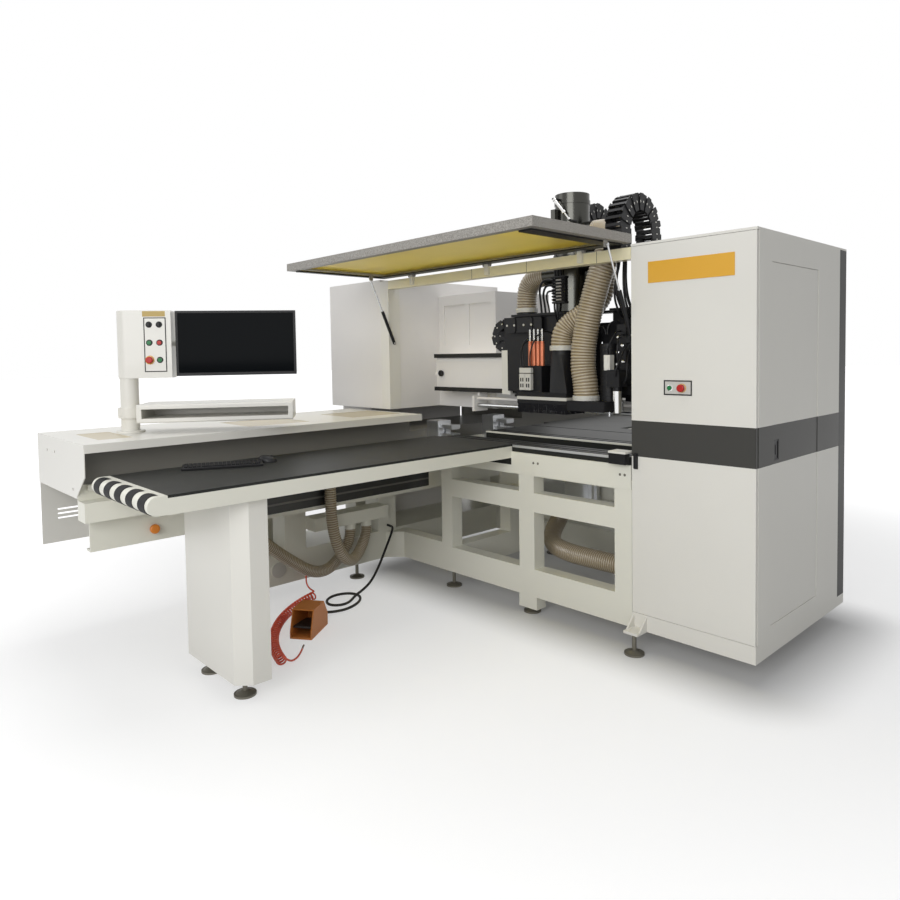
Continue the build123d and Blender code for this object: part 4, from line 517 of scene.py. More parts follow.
# base coat, then the tone and boxes of each region; the girder's grey band and the hood beam's yellow are
# painted shade and painted light
tonesAndPaintedLight = {
    "cabinet": (finish("cabinetPowderCoat", **dict(whitePaint, roughness=0.34, coat=0.0, specular=0.1)),
                [("band", cabinetBand), ("rail", [rearStrip])]),
    "girder": (finish("girderPaint", **creamPaint),
               # the grey from 915 to 1118 is painted shade under the covers' lip, on every face of the girder
               # there
               [("beam", [(-reach, reach, -reach, reach, 915, 1118)]),
                # dark strip under the table: a chain tray, darkened as painted shade
                ("rail", [(*girderFace, *run, 602, 746) for run in girderRuns]),
                ("beam", [(*girderFace, *run, 648, 660) for run in girderRuns])]),
    "covers": (finish("coverPaint", **whitePaint), [("pad", [(*padX, *run, *padZ) for run in padRuns])]),
    # the yellow on the beam under the hood is painted light, amber light through the hood window over the
    # frame's cream
    "opening": (finish("openingPaint", **whitePaint), [("amberLitBeam", [(-1945.5, 1, -1, 61, 1976, 2037)])]),
    "crossBeam": (finish("crossBeamPaint", **coolPaint),
                  [("rail", [(-reach, reach, 300, 339.5, 1240, 1530)])]),
    "cool": (paints["cool"], [("seam", housingDoors), ("rail", housingPulls)]),
    "carriage": (finish("carriagePaint", **blackPaint),
                 [("white", [(-1109, -1036.5, 240, 306, 1254, 1536)])]),
    "head": (finish("headPaint", **blackPaint), [("white", [(-781, -709, 40, 69.8, 1299, 1396)])]),
}
for label, (coat, parts) in tonesAndPaintedLight.items():
    paints[label] = regions(coat, [(box, tones[tone]) for tone, boxes in parts for box in boxes])
print("finishes ready:", len(paints))

nodeFinish = {
    "white": "beam_end_panels table_legs keyboard_tray control_box console_post",
    "cool": "left_housing left_tower",
    "cream": "main_frame base_rail table_frames",
    "girder": "beam_girder",
    "covers": "beam_covers",
    "opening": "opening_frame",
    "crossBeam": "cross_beam",
    "carriage": "upper_carriage",
    "head": "upper_head",
    "cabinet": "cabinet_shell cabinet_front_door cabinet_side_door",
    "tableBlack": "table_tops inner_decks",
    "speckled": "hood_frame",
    "amber": "hood_window",
    "dark": "left_strut_cylinder right_strut_cylinder dust_boot",
    "steel": "left_strut_rod right_strut_rod press_roller milling_tool drill_bank",
    "ductSteel": "dust_duct",
    "bronze": "levelling_feet",
    "aluminium": "lower_carriage lower_head front_clamp front_clamp_jaw rear_clamp rear_clamp_jaw",
    "blackPlastic": "cable_chain_x cable_chain_arch monitor left_selector right_selector pedal_tread",
    "rubber": "end_rollers",
    "bristle": "brush_skirt",
    "green": "cabinet_start_button start_button reset_button",
    "red": "cabinet_stop_button stop_button emergency_stop",
    "orange": "pedal_guard",
    "hose": "dust_hoses lower_dust_hose vacuum_hose_a vacuum_hose_b",
    "redHose": "air_hose",
    "cable": "pedal_cable",
}
for label, names in nodeFinish.items():
    for name in names.split():
        mesh = nodes[name].data
        mesh.materials.clear()
        mesh.materials.append(paints[label])
print("nodes painted")

# free hoses and cables

pedal = {"place": (-1382.0, -1046.5, 0.0), "turn": 35.0, "exit": [(0, 116.5, 40), (0, 176.5, 40)]}
pedalExit = facing(pedal["place"], heading(pedal["turn"]))(np.array(pedal["exit"], float))
pedalLead = {
    "route": [*pedalExit, (-1500, -810, 14), (-1490, -715, 9), (-1535, -595, 9),
              (-1620, -525, 9), (-1700, -530, 9), (-1745, -590, 9), (-1745, -665, 9), (-1700, -730, 9),
              (-1630, -755, 9), (-1575, -715, 9), (-1572, -645, 10), (-1605, -575, 30), (-1640, -490, 36),
              (-1675, -400, 60), (-1700, -320, 130), (-1730, -240, 220), (-1770, -160, 295),
              (-1820, -100, 326), (-1860, -75, 330), (-1910, -75, 330)],
    "diameter": 0.016,
}
cable("pedalLead", spots(pedalLead["route"]), pedalLead["diameter"], "cable", "frame", cadNode="pedal_cable")

hoseCoils = {"floor": {"wall": 0.004, "pitch": 0.014, "depth": 0.0045},
             "dust": {"wall": 0.005, "pitch": 0.0165, "depth": 0.0045}}
hoseRuns = {
    "vacuumHoseA": ("vacuum_hose_a", 0.036, [
        (-1670, -700, 745), (-1670, -700, 620), (-1664, -690, 440), (-1662, -640, 290), (-1700, -545, 215),
        (-1775, -440, 210), (-1835, -345, 265), (-1855, -300, 330), (-1855, -300, 380)]),
    "vacuumHoseB": ("vacuum_hose_b", 0.036, [
        (-1855, -430, 380), (-1855, -430, 310), (-1840, -520, 215), (-1790, -650, 165), (-1750, -790, 190),
        (-1725, -930, 285), (-1700, -1080, 400), (-1680, -1210, 520), (-1670, -1280, 630),
        (-1670, -1290, 690), (-1670, -1290, 745)]),
    "lowerDustHose": ("lower_dust_hose", 0.055, [
        (-40, 240, 330), (-180, 240, 330), (-400, 236, 330), (-600, 248, 328), (-770, 320, 332),
        (-860, 440, 372), (-895, 555, 430), (-900, 620, 490), (-900, 620, 560)]),
}
for name, (cadNode, radius, route) in hoseRuns.items():
    hose, line, length = ribbedTube(name, spots(route), radius, hoseCoils["floor"], "hose")
    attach(hose, "frame")
    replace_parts(hose, cadNode)

airHose = {"centre": (-872.0, -432.0), "sweep": 976.0, "start": 199.0, "end": 257.0, "turns": 36,
           "curl": 23.0, "radius": 5.0, "tap": (-1910.0, -745.0, 190.0), "perTurn": 12}


def curlPoints():
    # a helix carried round a wide arc on the floor
    turns = np.arange(0, airHose["turns"] + 1e-6, 1 / airHose["perTurn"])
    angle = np.radians(airHose["start"] + (airHose["end"] - airHose["start"]) * turns / airHose["turns"])
    outward = airHose["sweep"] + airHose["curl"] * np.sin(2 * math.pi * turns)
    height = airHose["radius"] + 1 + airHose["curl"] * (1 + np.cos(2 * math.pi * turns))
    x, y = airHose["centre"]
    return np.stack([x + outward * np.cos(angle), y + outward * np.sin(angle), height], axis=1)


lead = np.array([airHose["tap"], (-1890, -747, 188), (-1868, -762, 150), (-1862, -768, 95),
                 (-1835, -762, 62)])
tail = np.array([(-1083, -1370, 40), (-1088, -1335, 12), (-1112, -1290, 6), (-1150, -1245, 6),
                 (-1195, -1205, 6)])
airRoute = np.concatenate([lead, curlPoints(), tail])
connector = turned("airConnector", [(5.6, -6), (5.6, 4), (5.9, 5), (5.9, 20), (5.2, 21), (5.2, 27), (5.9, 28),
                                    (5.9, 38), (4, 40)],
                   (0, 0, 0), "X", "chrome", "frame", turn=facing(airRoute[-1], airRoute[-1] - airRoute[-2]))
cable("airHose", spots(airRoute), 2e-3 * airHose["radius"], "redHose", "frame",
      cadNode="air_hose", resolution=3)

dustRuns = {
    "frontDustHose": (0.070, ("carriage", "head"), [
        (-420, 300, 2195), (-350, 300, 2195), (-285, 265, 2170), (-265, 215, 2105), (-268, 180, 2025),
        (-295, 158, 1930), (-335, 140, 1780), (-372, 122, 1590), (-378, 113, 1440), (-355, 112, 1330),
        (-355, 112, 1250)]),
    "bootHose": (0.064, ("head", "carriage"), [
        (-545, 145, 1545), (-545, 145, 1612), (-515, 168, 1672), (-438, 200, 1725), (-388, 252, 1778),
        (-364, 290, 1850), (-362, 300, 1925), (-362, 300, 1968)]),
    "leftDustHose": (0.064, None, [
        (-765, 300, 1985), (-845, 300, 1985), (-915, 302, 1940), (-935, 300, 1870), (-935, 300, 1766)]),
}
for name, (radius, across, route) in dustRuns.items():
    hose, line, length = ribbedTube(name, spots(route), radius, hoseCoils["dust"], "hose")
    if across:
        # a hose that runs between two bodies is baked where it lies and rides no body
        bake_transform(hose)
    else:
        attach(hose, "carriage")
    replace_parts(hose, "dust_hoses")
print("hoses and cables laid")

# energy chains

linkShape = {"plate": [(-0.58, -0.34), (-0.46, -0.5), (0.46, -0.5), (0.58, -0.34), (0.58, 0.34), (0.46, 0.5),
                       (-0.46, 0.5), (-0.58, 0.34)],
             "bars": [[(-0.24, -0.49), (0.24, -0.49), (0.24, -0.40), (-0.24, -0.40)],
                      [(-0.24, 0.40), (0.24, 0.40), (0.24, 0.49), (-0.24, 0.49)]],
             "thick": 5.0, "inset": 6.0, "dot": (0.11, 0.075), "dotsAt": (-0.44, 0.44), "dotDepth": (-1, 1.2),
             "dotSides": 10}


def extrudeOutline(outline, y0, y1):
    # an outline in along and up shares, drawn out across from y0 to y1
    count = len(outline)
    flat = np.asarray(outline, float)
    points = np.concatenate([np.column_stack([flat[:, 0], np.full(count, y), flat[:, 1]]) for y in (y0, y1)])
    k = np.arange(count)
    sides = np.column_stack([k, (k + 1) % count, (k + 1) % count + count, k + count]).tolist()
    return points, sides + [k[::-1].tolist(), (k + count).tolist()]


def linkPieces(width, inset):
    half = width / 2 - inset
    pieces = [extrudeOutline(linkShape["plate"], *sorted((side * half, side * (half - linkShape["thick"]))))
              for side in (-1, 1)]
    return pieces + [extrudeOutline(bar, -half + 1, half - 1) for bar in linkShape["bars"]]


def dotPieces(width):
    angle = circle(linkShape["dotSides"])
    (wide, high), (deep, proud) = linkShape["dot"], linkShape["dotDepth"]
    return [extrudeOutline(np.column_stack([along + wide * np.cos(angle), high * np.sin(angle)]),
                           *sorted((side * (width / 2 + deep), side * (width / 2 + proud))))
            for along in linkShape["dotsAt"] for side in (-1, 1)]


def linkChain(name, ends, across, width, height, cadNode=None):
    # each link is set on the chord between two ends: along it, across it and square to both
    ends = np.asarray(ends, float)
    across = np.asarray(across, float)
    chord = np.diff(ends, axis=0)
    centre = (ends[1:] + ends[:-1]) / 2
    up = np.cross(chord, across)
    up *= height / np.linalg.norm(up, axis=1)[:, None]
    made = []
    plates = linkPieces(width, 0), linkPieces(width, linkShape["inset"])
    dots = dotPieces(width), []
    for label, paint, kinds in (("Plates", "blackPlastic", plates), ("Dots", "paleGrey", dots)):
        points, faces, count = [], [], 0
        for parity, pieces in enumerate(kinds):
            at = slice(parity, None, 2)
            for local, sides in pieces:
                placed = (centre[at, None] + chord[at, None] * local[None, :, :1]
                          + across * local[None, :, 1:2] + up[at, None] * local[None, :, 2:])
                points.append(placed.reshape(-1, 3))
                for first in range(count, count + len(placed) * len(local), len(local)):
                    faces += [[first + corner for corner in side] for side in sides]
                count += len(placed) * len(local)
        obj = putMesh(name + label, spots(np.concatenate(points)), faces, paint, None)
        if cadNode:
            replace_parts(obj, cadNode)
        made.append(obj)
    return made


def bentRun(first, last, bend, radius, links, steps=60):
    # a straight run, half a turn about the bend and a straight run back, in along and up, at even steps
    angle = np.linspace(0, math.pi, steps)
    turn = np.column_stack([bend[0] - radius * np.sin(angle), bend[1] - radius * np.cos(angle)])
    return evenLine(np.concatenate([[first], turn, [last]]), links + 1)


crossChain = {"first": (-260, 1550), "last": (-760, 1711), "bend": (-1200, 1630.5), "radius": 80.5,
              "links": 29, "middleY": 415, "width": 86, "height": 60,
              "blend": [(-1000, 415, 1580), (-1000, 415, 1681)]}
run = bentRun(*(crossChain[k] for k in ("first", "last", "bend", "radius", "links")))
ends = np.column_stack([run[:, 0], np.full(len(run), crossChain["middleY"]), run[:, 1]])
size = crossChain["width"], crossChain["height"]
for obj in linkChain("crossChain", ends, (0, 1, 0), *size, "cable_chain_x"):
    low, high = spots(crossChain["blend"])
    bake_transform(obj)

archHeight = 90
archChains = {
    "frontArch": {"base": 2056, "centre": (230, 2157), "radius": 148, "links": 21, "middleX": -128.5,
                  "width": 107},
    "rearArch": {"base": 2012, "centre": (574, 2271), "radius": 110, "links": 25, "middleX": -635,
                 "width": 100},
}
for name, arch in archChains.items():
    y, z = arch["centre"]
    rise = z - arch["base"]
    # the run is drawn lying on its side and stood up: its along becomes the height
    run = bentRun((rise, -arch["radius"]), (rise, arch["radius"]), (0, 0), arch["radius"], arch["links"])
    ends = np.column_stack([np.full(len(run), arch["middleX"]), y + run[:, 1], z - run[:, 0]])
    for obj in linkChain(name, ends, (1, 0, 0), arch["width"], archHeight, "cable_chain_arch"):
        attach(obj, "carriage")
print("chains linked")

# drilling head

brush = {"box": (-800, -440, 45, 222), "low": 1169, "top": 1245, "backing": (8, 22), "spacing": 2.6,
         "rows": (3, 6), "width": 1.5, "taper": 0.8, "lean": 1.8, "uneven": 3, "root": 4.0, "seed": 7}


def brushWalk(inset):
    # evenly spaced places round a rectangle set in from the brush's edge
    x0, x1, y0, y1 = np.array(brush["box"], float) + (inset, -inset, inset, -inset)
    ring = np.array([(x0, y0), (x1, y0), (x1, y1), (x0, y1), (x0, y0)])
    return pointsAt(ring, np.arange(0, distances(ring)[-1], brush["spacing"]))


def buildBrush():
    # four-sided bristles, each leaning a little its own way, under a backing frame
    chance = np.random.default_rng(brush["seed"])
    roots = np.concatenate([brushWalk(inset) for inset in brush["rows"]])
    lean = chance.uniform(-brush["lean"], brush["lean"], roots.shape)
    low = brush["low"] + chance.uniform(0, brush["uneven"], len(roots))
    corners = np.array([(-1, -1), (1, -1), (1, 1), (-1, 1)]) * brush["width"] / 2
    high = np.full((len(roots), 4, 1), brush["top"] - brush["root"])
    upper = np.concatenate([roots[:, None] + corners, high], axis=2)
    x0, x1, y0, y1 = brush["box"]
    tips = np.clip(roots + lean, (x0 + 1, y0 + 1), (x1 - 1, y1 - 1))
    ends = np.repeat(low[:, None, None], 4, axis=1)
    lower = np.concatenate([tips[:, None] + corners * brush["taper"], ends], axis=2)
    points = np.concatenate([upper, lower], axis=1).reshape(-1, 3)
    sides = np.array([(0, 1, 5, 4), (1, 2, 6, 5), (2, 3, 7, 6), (3, 0, 4, 7), (0, 3, 2, 1), (4, 5, 6, 7)])
    faces = (np.arange(len(roots))[:, None, None] * 8 + sides[None, :, ::-1]).reshape(-1, 4)
    obj = putMesh("brushBristles", spots(points), faces, "bristle", "head", smooth=0)
    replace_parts(obj, "brush_skirt")
    thick, deep = brush["backing"]
    bars = [(*bar, brush["top"] - deep, brush["top"]) for bar in rim(x0, x1, y0, y1, thick)]
    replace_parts(blocks("brushBacking", bars, "dark", "head", bevel=0.001), "brush_skirt")


buildBrush()
blocks("bootStrip", [(-801.5, -438.5, 43.5, 45, 1246, 1264), (-440, -438.5, 45, 222, 1246, 1264),
                     (-801.5, -800, 45, 222, 1246, 1264)], "paleGrey", "head", bevel=0.0005)

strokeCylinders = {"x": (-742, -712, -682, -652), "y": 100, "foot": 1440, "body": 1585, "top": 1655,
                   "coils": 7, "spring": (6.5, 2.5)}
bodyRise = strokeCylinders["body"] - strokeCylinders["foot"]


def springProfile():
    # a thin rod whose radius swells once each coil, as a packed spring's does
    share = np.linspace(0, 1, 8 * strokeCylinders["coils"] + 1)
    middle, swell = strokeCylinders["spring"]
    radius = middle + swell * np.cos(share * strokeCylinders["coils"] * 2 * math.pi)
    return np.column_stack([radius, bodyRise + (strokeCylinders["top"] - strokeCylinders["body"]) * share])


cylinderPlaces = [(x, strokeCylinders["y"], strokeCylinders["foot"]) for x in strokeCylinders["x"]]
turned("strokeCylinders", [(9, 0), (13, 2), (13, bodyRise - 14), (11, bodyRise - 12), (11, bodyRise - 8),
                           (13, bodyRise - 6), (13, bodyRise - 2), (9, bodyRise)],
       cylinderPlaces, "Z", "copper", "head", segments=20)
turned("strokeSprings", springProfile(), cylinderPlaces, "Z", "chrome", "head", segments=14, smooth=60)
blocks("valveBlock", [(-784, -696, 47, 70, 1400, 1430), (-782, -740, 44, 70, 1300, 1396),
                      (-738, -696, 44, 70, 1300, 1396)], "paleGrey", "head", bevel=0.002)
slotPlaces = [(x, z) for x in (-774, -758, -730, -714) for z in (1316, 1350)]
blocks("valveSlots", [(x, x + 9, 43.2, 44.2, z, z + 22) for x, z in slotPlaces], "blackPlastic", "head",
       bevel=0.0005)
turned("rodSleeve", [(20, -1), (24.6, 2), (24.6, 118), (22, 120), (22, 138)], (-147, 100, 1190), "Z",
       "chrome", "head")
turned("spindleRings", [(48.1, 0), (49.6, 1), (49.6, 7), (48.1, 8)],
       [(-240, 165, z) for z in range(1275, 1540, 20)], "Z", "dark", "head", closed=True, segments=40)
hoseClamps = {"bootClamp": ((-545, 145, 1528), 69, "head"), "leftClamp": ((-935, 300, 1768), 68, "carriage"),
              "shroudClamp": ((-355, 112, 1251), 74, "head")}
for name, (place, radius, body) in hoseClamps.items():
    turned(name, [(radius - 2, 0), (radius, 1), (radius, 12), (radius + 1.5, 13), (radius + 1.5, 17),
                  (radius, 18), (radius, 27), (radius - 2, 28)],
           place, "Z", "paleGrey", body, closed=True, segments=48)

chainBracket = {"x": (-1052, -778), "y": 253.0, "z": 1690.0, "links": 4, "width": 30, "height": 92}
# chain end links bolted to the carriage above the head
bracketX = np.linspace(*chainBracket["x"], chainBracket["links"] + 1)
bracketEnds = np.column_stack([bracketX, np.full_like(bracketX, chainBracket["y"]),
                               np.full_like(bracketX, chainBracket["z"])])
for obj in linkChain("chainBracket", bracketEnds, (0, 1, 0), chainBracket["width"], chainBracket["height"]):
    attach(obj, "carriage")

valveIsland = {"box": (-632, -540, 166, 202), "low": 1800, "top": 1955, "slices": 7, "end": 12}


def buildValveIsland():
    # narrow valves side by side between two end blocks, with a push-in fitting on each
    x0, x1, y0, y1 = valveIsland["box"]
    low, top, slices, end = (valveIsland[k] for k in ("low", "top", "slices", "end"))
    step = (top - low - 2 * end) / slices
    rises = [low + end + step * k for k in range(slices)]
    blocks("valveIslandEnds", [(x0, x1, y0, y1, low, low + end - 1), (x0, x1, y0, y1, top - end + 1, top),
                               (x0 + 8, x1 - 8, y1 - 12, y1, low + end - 1, top - end + 1)],
           "dark", "carriage")
    blocks("valveIslandSlices", [(x0 + 3, x1 - 3, y0 + 4, y1 - 12, z + 1, z + step - 1) for z in rises],
           "blackPlastic", "carriage", bevel=0.0015)
    blocks("valveIslandTops", [(x0 + 30, x1 - 22, y0 + 1, y0 + 5, z + 5, z + step - 5) for z in rises],
           "speckled", "carriage", bevel=0.001)
    turned("valveIslandFittings", [(4, -1), (4, 3), (6, 4), (6, 10), (4.6, 11), (4.6, 15)],
           [(x, y0 + 4, z + step / 2) for z in rises for x in (x0 + 12, x1 - 11)], "-Y", "rubber",
           "carriage", segments=14)


buildValveIsland()

# leads by the body they ride: diameter in millimetres and route
leads = {
    "carriage": {
        "loopLeadA": (13, [(-632, 184, 1936), (-668, 182, 1946), (-722, 190, 1938), (-762, 212, 1890),
            (-774, 240, 1826), (-774, 248, 1756)]),
        "loopLeadB": (13, [(-632, 184, 1904), (-662, 182, 1912), (-702, 190, 1902), (-734, 212, 1856),
            (-744, 240, 1808), (-744, 248, 1756)]),
        "loopLeadC": (11, [(-632, 184, 1872), (-656, 182, 1878), (-688, 192, 1868), (-708, 214, 1832),
            (-714, 240, 1796), (-714, 248, 1756)]),
        "riserLeadA": (14, [(-620, 186, 1955), (-622, 188, 1990), (-640, 204, 2034), (-672, 240, 2068),
            (-690, 300, 2078), (-676, 356, 2074), (-648, 404, 2052), (-642, 428, 2012)]),
        "riserLeadB": (14, [(-600, 184, 1955), (-602, 186, 1998), (-626, 198, 2046), (-668, 236, 2084),
            (-690, 300, 2095), (-676, 360, 2092), (-640, 412, 2066), (-622, 440, 2012)]),
        "riserLeadC": (11, [(-578, 182, 1955), (-580, 184, 2004), (-612, 194, 2058), (-664, 232, 2099),
            (-688, 300, 2110), (-676, 364, 2106), (-630, 420, 2078), (-604, 452, 2012)]),
        "dropLeadA": (12, [(-626, 184, 1800), (-628, 186, 1772), (-634, 206, 1724), (-640, 240, 1694),
            (-642, 270, 1690)]),
        "dropLeadB": (12, [(-606, 184, 1800), (-608, 186, 1768), (-614, 204, 1706), (-618, 236, 1672),
            (-620, 270, 1668)]),
        "archLeadA": (14, [(-168, 150, 2044), (-168, 148, 1980), (-176, 138, 1900), (-182, 150, 1812),
            (-178, 196, 1742), (-172, 238, 1700), (-170, 270, 1694)]),
        "archLeadB": (12, [(-148, 170, 2044), (-148, 168, 1990), (-140, 150, 1904), (-136, 150, 1816),
            (-138, 190, 1738), (-142, 236, 1692), (-144, 270, 1686)]),
        "archLeadC": (16, [(-124, 150, 2044), (-124, 148, 1970), (-112, 126, 1884), (-104, 132, 1796),
            (-106, 184, 1726), (-110, 236, 1684), (-112, 270, 1680)]),
        "archLeadD": (10, [(-100, 176, 2044), (-100, 174, 1992), (-92, 160, 1900), (-84, 168, 1810),
            (-84, 206, 1738), (-88, 240, 1700), (-90, 270, 1694)]),
        "archLeadE": (12, [(-184, 190, 2044), (-186, 188, 1984), (-204, 172, 1896), (-216, 178, 1812),
            (-212, 206, 1742), (-206, 240, 1702), (-204, 270, 1696)]),
    },
    "head": {
        "headLeadA": (8, [(-776, 58, 1430), (-778, 56, 1468), (-796, 76, 1534), (-812, 130, 1580),
            (-812, 190, 1592), (-810, 225, 1592)]),
        "headLeadB": (8, [(-758, 58, 1430), (-760, 54, 1482), (-782, 70, 1562), (-790, 130, 1606),
            (-788, 190, 1612), (-786, 225, 1610)]),
        "headLeadC": (8, [(-706, 58, 1430), (-706, 50, 1474), (-690, 44, 1548), (-668, 80, 1624),
            (-664, 150, 1644), (-664, 214, 1630), (-664, 238, 1620)]),
        "headLeadD": (9, [(-108, 186, 1560), (-108, 150, 1558), (-102, 98, 1526), (-108, 56, 1462),
            (-124, 44, 1412), (-132, 60, 1386)]),
        "headLeadE": (10, [(-96, 186, 1540), (-94, 146, 1532), (-84, 98, 1476), (-82, 90, 1404),
            (-92, 96, 1362), (-110, 100, 1350)]),
        "headLeadF": (8, [(-150, 140, 1624), (-150, 108, 1628), (-160, 78, 1592), (-180, 72, 1548),
            (-202, 92, 1522), (-207, 112, 1499)]),
        "headLeadG": (10, [(-130, 140, 1604), (-130, 102, 1606), (-122, 66, 1564), (-118, 58, 1494),
            (-126, 76, 1446), (-132, 90, 1420)]),
        "spindleLeadA": (9, [(-240, 150, 1610), (-240, 148, 1640), (-228, 156, 1672), (-206, 176, 1682),
            (-192, 200, 1668), (-190, 206, 1640), (-190, 226, 1606)]),
        "spindleLeadB": (9, [(-258, 162, 1610), (-260, 160, 1636), (-284, 160, 1656), (-310, 176, 1644),
            (-322, 202, 1612), (-322, 225, 1592)]),
    },
}
for body, runs in leads.items():
    for name, (across, route) in runs.items():
        cable(name, spots(route), across / 1000, "cable", body)

# spindle side: sensor box, dampers and fittings on the head plate
blocks("sensorBox", [(-226, -188, 92, 134, 1417, 1499), (-222, -192, 89, 92, 1424, 1492),
                     (-216, -198, 86, 89, 1462, 1484)], "white", "head", bevel=0.0025)
turned("headFittings", [(5, -2), (5, 4), (8, 5), (8, 13), (6, 14), (6, 19), (3.5, 20)],
       [(-166, 140, 1448), (-130, 140, 1462), (-162, 140, 1512), (-134, 140, 1548), (-158, 140, 1592)], "-Y",
       "chrome", "head", segments=14)
turned("headDampers", [(9, 0), (11, 2), (11, 90), (8, 92), (5, 93), (5, 140), (7, 141), (7, 150)],
       [(-312, 206, 1420), (-300, 214, 1340), (-100, 208, 1360)], "Z", "steel", "head", segments=18)
blocks("headJunctions", [(-118, -86, 190, 226, 1520, 1600), (-114, -90, 186, 190, 1528, 1592),
                         (-330, -292, 196, 226, 1292, 1330), (-326, -296, 192, 196, 1298, 1324)],
       "aluminium", "head", bevel=0.002)
gateStart, gateEnd = (-604, 158, 2396), (-500, 172, 2262)
turned("gateCylinder", [(7, 0), (12, 2), (12, 12), (9, 14), (9, 96), (12, 98), (12, 112), (4.5, 113),
                        (4.5, 150), (7.5, 151), (7.5, 166), (3, 167)],
       (0, 0, 0), "X", "chrome", "carriage", segments=18, turn=aimed(gateStart, gateEnd))
blocks("gateBrackets", [(-612, -596, 150, 210, 2390, 2402), (-508, -494, 164, 232, 2258, 2268)], "dark",
       "carriage", bevel=0.0015)
turned("beamKnob", [(6, -4), (6, 4), (20, 6), (22, 9), (22, 20), (18, 24), (5, 25)], (-1769, 340, 1381), "-Y",
       "blackPlastic", "frame")
print("drilling head dressed")

# cabinet

buttonPlate = (182, 327, 1303, 1375)
blocks("namePlate", [(97, 531, -2.5, 0, 1848, 1952)], "yellow", "door_front", bevel=0.0012)
blocks("buttonPlate", upright([buttonPlate], -1.6, 0), "paleGrey", "door_front", bevel=0.0008)
blocks("buttonOutline", upright(rim(*buttonPlate, 6), -2.6, -1.5), "dark", "door_front", bevel=0)
turned("buttonRings", [(11.6, 1.5), (11.6, 4), (15, 3.4), (15.5, 1.5)], (214, 0, 1338), "-Y", "chrome",
       "door_front", closed=True)
turned("stopRing", [(18.8, 1.5), (18.8, 4), (21, 3.4), (21.5, 1.5)], (276, 0, 1338), "-Y", "yellow",
       "door_front", closed=True)
blocks("doorLatch", [(18.6, 35.4, -14.9, 0, 928, 1002), (16, 38, -3, 0, 924, 1006)], "blackPlastic",
       "door_front", bevel=0.0015)
blocks("sidePull", [(622, 624, 196, 244, 1006, 1099), (624, 627, 196, 201, 1006, 1099),
                    (624, 627, 239, 244, 1006, 1099), (624, 627, 201, 239, 1006, 1012),
                    (624, 627, 201, 239, 1093, 1099), (624, 626.4, 214, 226, 1030, 1075)],
       "blackPlastic", "door_side", bevel=0.001)

# operator console

console = {"place": (-2020.0, -1738.0, 0.0), "turn": 56.0, "plate": (96, 210, 1446, 1738)}
onConsole = facing(console["place"], heading(console["turn"]))
blocks("controlPlate", upright([console["plate"]], -53.2, -52), "white", "console", bevel=0.0005,
       turn=onConsole)
blocks("plateOutline", upright(rim(*console["plate"], 5), -53.7, -53.1), "dark", "console", bevel=0,
       turn=onConsole)
blocks("consoleStrip", [(91, 207, -53.4, -52, 1743, 1772)], "brass", "console", bevel=0.0005,
       turn=onConsole)
turned("controlRings", [(11.7, 53), (11.7, 57), (15.5, 56), (17, 53)],
       [(x, 0, z) for x in (123, 175) for z in (1700, 1603, 1510) if (x, z) != (123, 1510)], "-Y",
       "dark", "console", closed=True, turn=onConsole)
turned("emergencyRing", [(18.6, 53), (18.6, 55), (23, 54.6), (24, 53)], (123, 0, 1510), "-Y", "yellow",
       "console", closed=True, turn=onConsole)
blocks("screenGlass", [(262.5, 877.5, -19.4, -18, 1436.5, 1762.5)], "glass", "screen", bevel=0.0004,
       turn=onConsole)
blocks("screenChin", [(250.5, 889.5, -20.7, -20, 1420.5, 1433)], "blackPlastic", "screen", bevel=0.0003,
       turn=onConsole)

# tables and clamp beam

typing = {"place": (-1328.0, -1545.0, 982.0), "along": (0.415, 0.910), "size": (380.0, 135.0),
          "keys": (18, 6), "edge": (12, 9), "key": (17, 16.5), "case": 12, "top": 17, "bar": (4, 10),
          "gap": 3}


def buildKeyboard():
    # a shallow slab with rows of keys, the nearest with a long bar in the middle; x runs along it
    onTable = facing(typing["place"], typing["along"])
    length, depth = typing["size"]
    blocks("keyboardCase", [(-length / 2, length / 2, -depth / 2, depth / 2, 0, typing["case"])],
           "blackPlastic", "frame", bevel=0.003, turn=onTable)
    (columns, lines), (edgeX, edgeY), (wide, deep) = typing["keys"], typing["edge"], typing["key"]
    left, near = -length / 2 + edgeX, -depth / 2 + edgeY
    pitch = (length - 2 * edgeX) / columns
    column, row = (grid.ravel() for grid in np.meshgrid(np.arange(columns), np.arange(lines)))
    first, after = typing["bar"]
    keep = (row > 0) | (column < first) | (column >= after)
    x, y = left + column[keep] * pitch, near + row[keep] * (depth - 2 * edgeY) / lines
    keys = np.column_stack([x, x + wide, y, y + deep])
    bar = [(left + first * pitch, left + after * pitch - typing["gap"], near, near + deep)]
    rows = [(*plan, typing["case"], typing["top"]) for plan in (*keys, *bar)]
    blocks("keyboardKeys", rows, "rubber", "frame", bevel=0.0012, turn=onTable)


mouse = {"place": (-1300, -1318, 982), "heading": (0.8, 0.6), "size": (104.0, 60.0, 34.0), "foot": 3,
         "waist": 0.12, "slope": 0.22, "crown": 2.4, "grid": (12, 36), "start": 0.02}


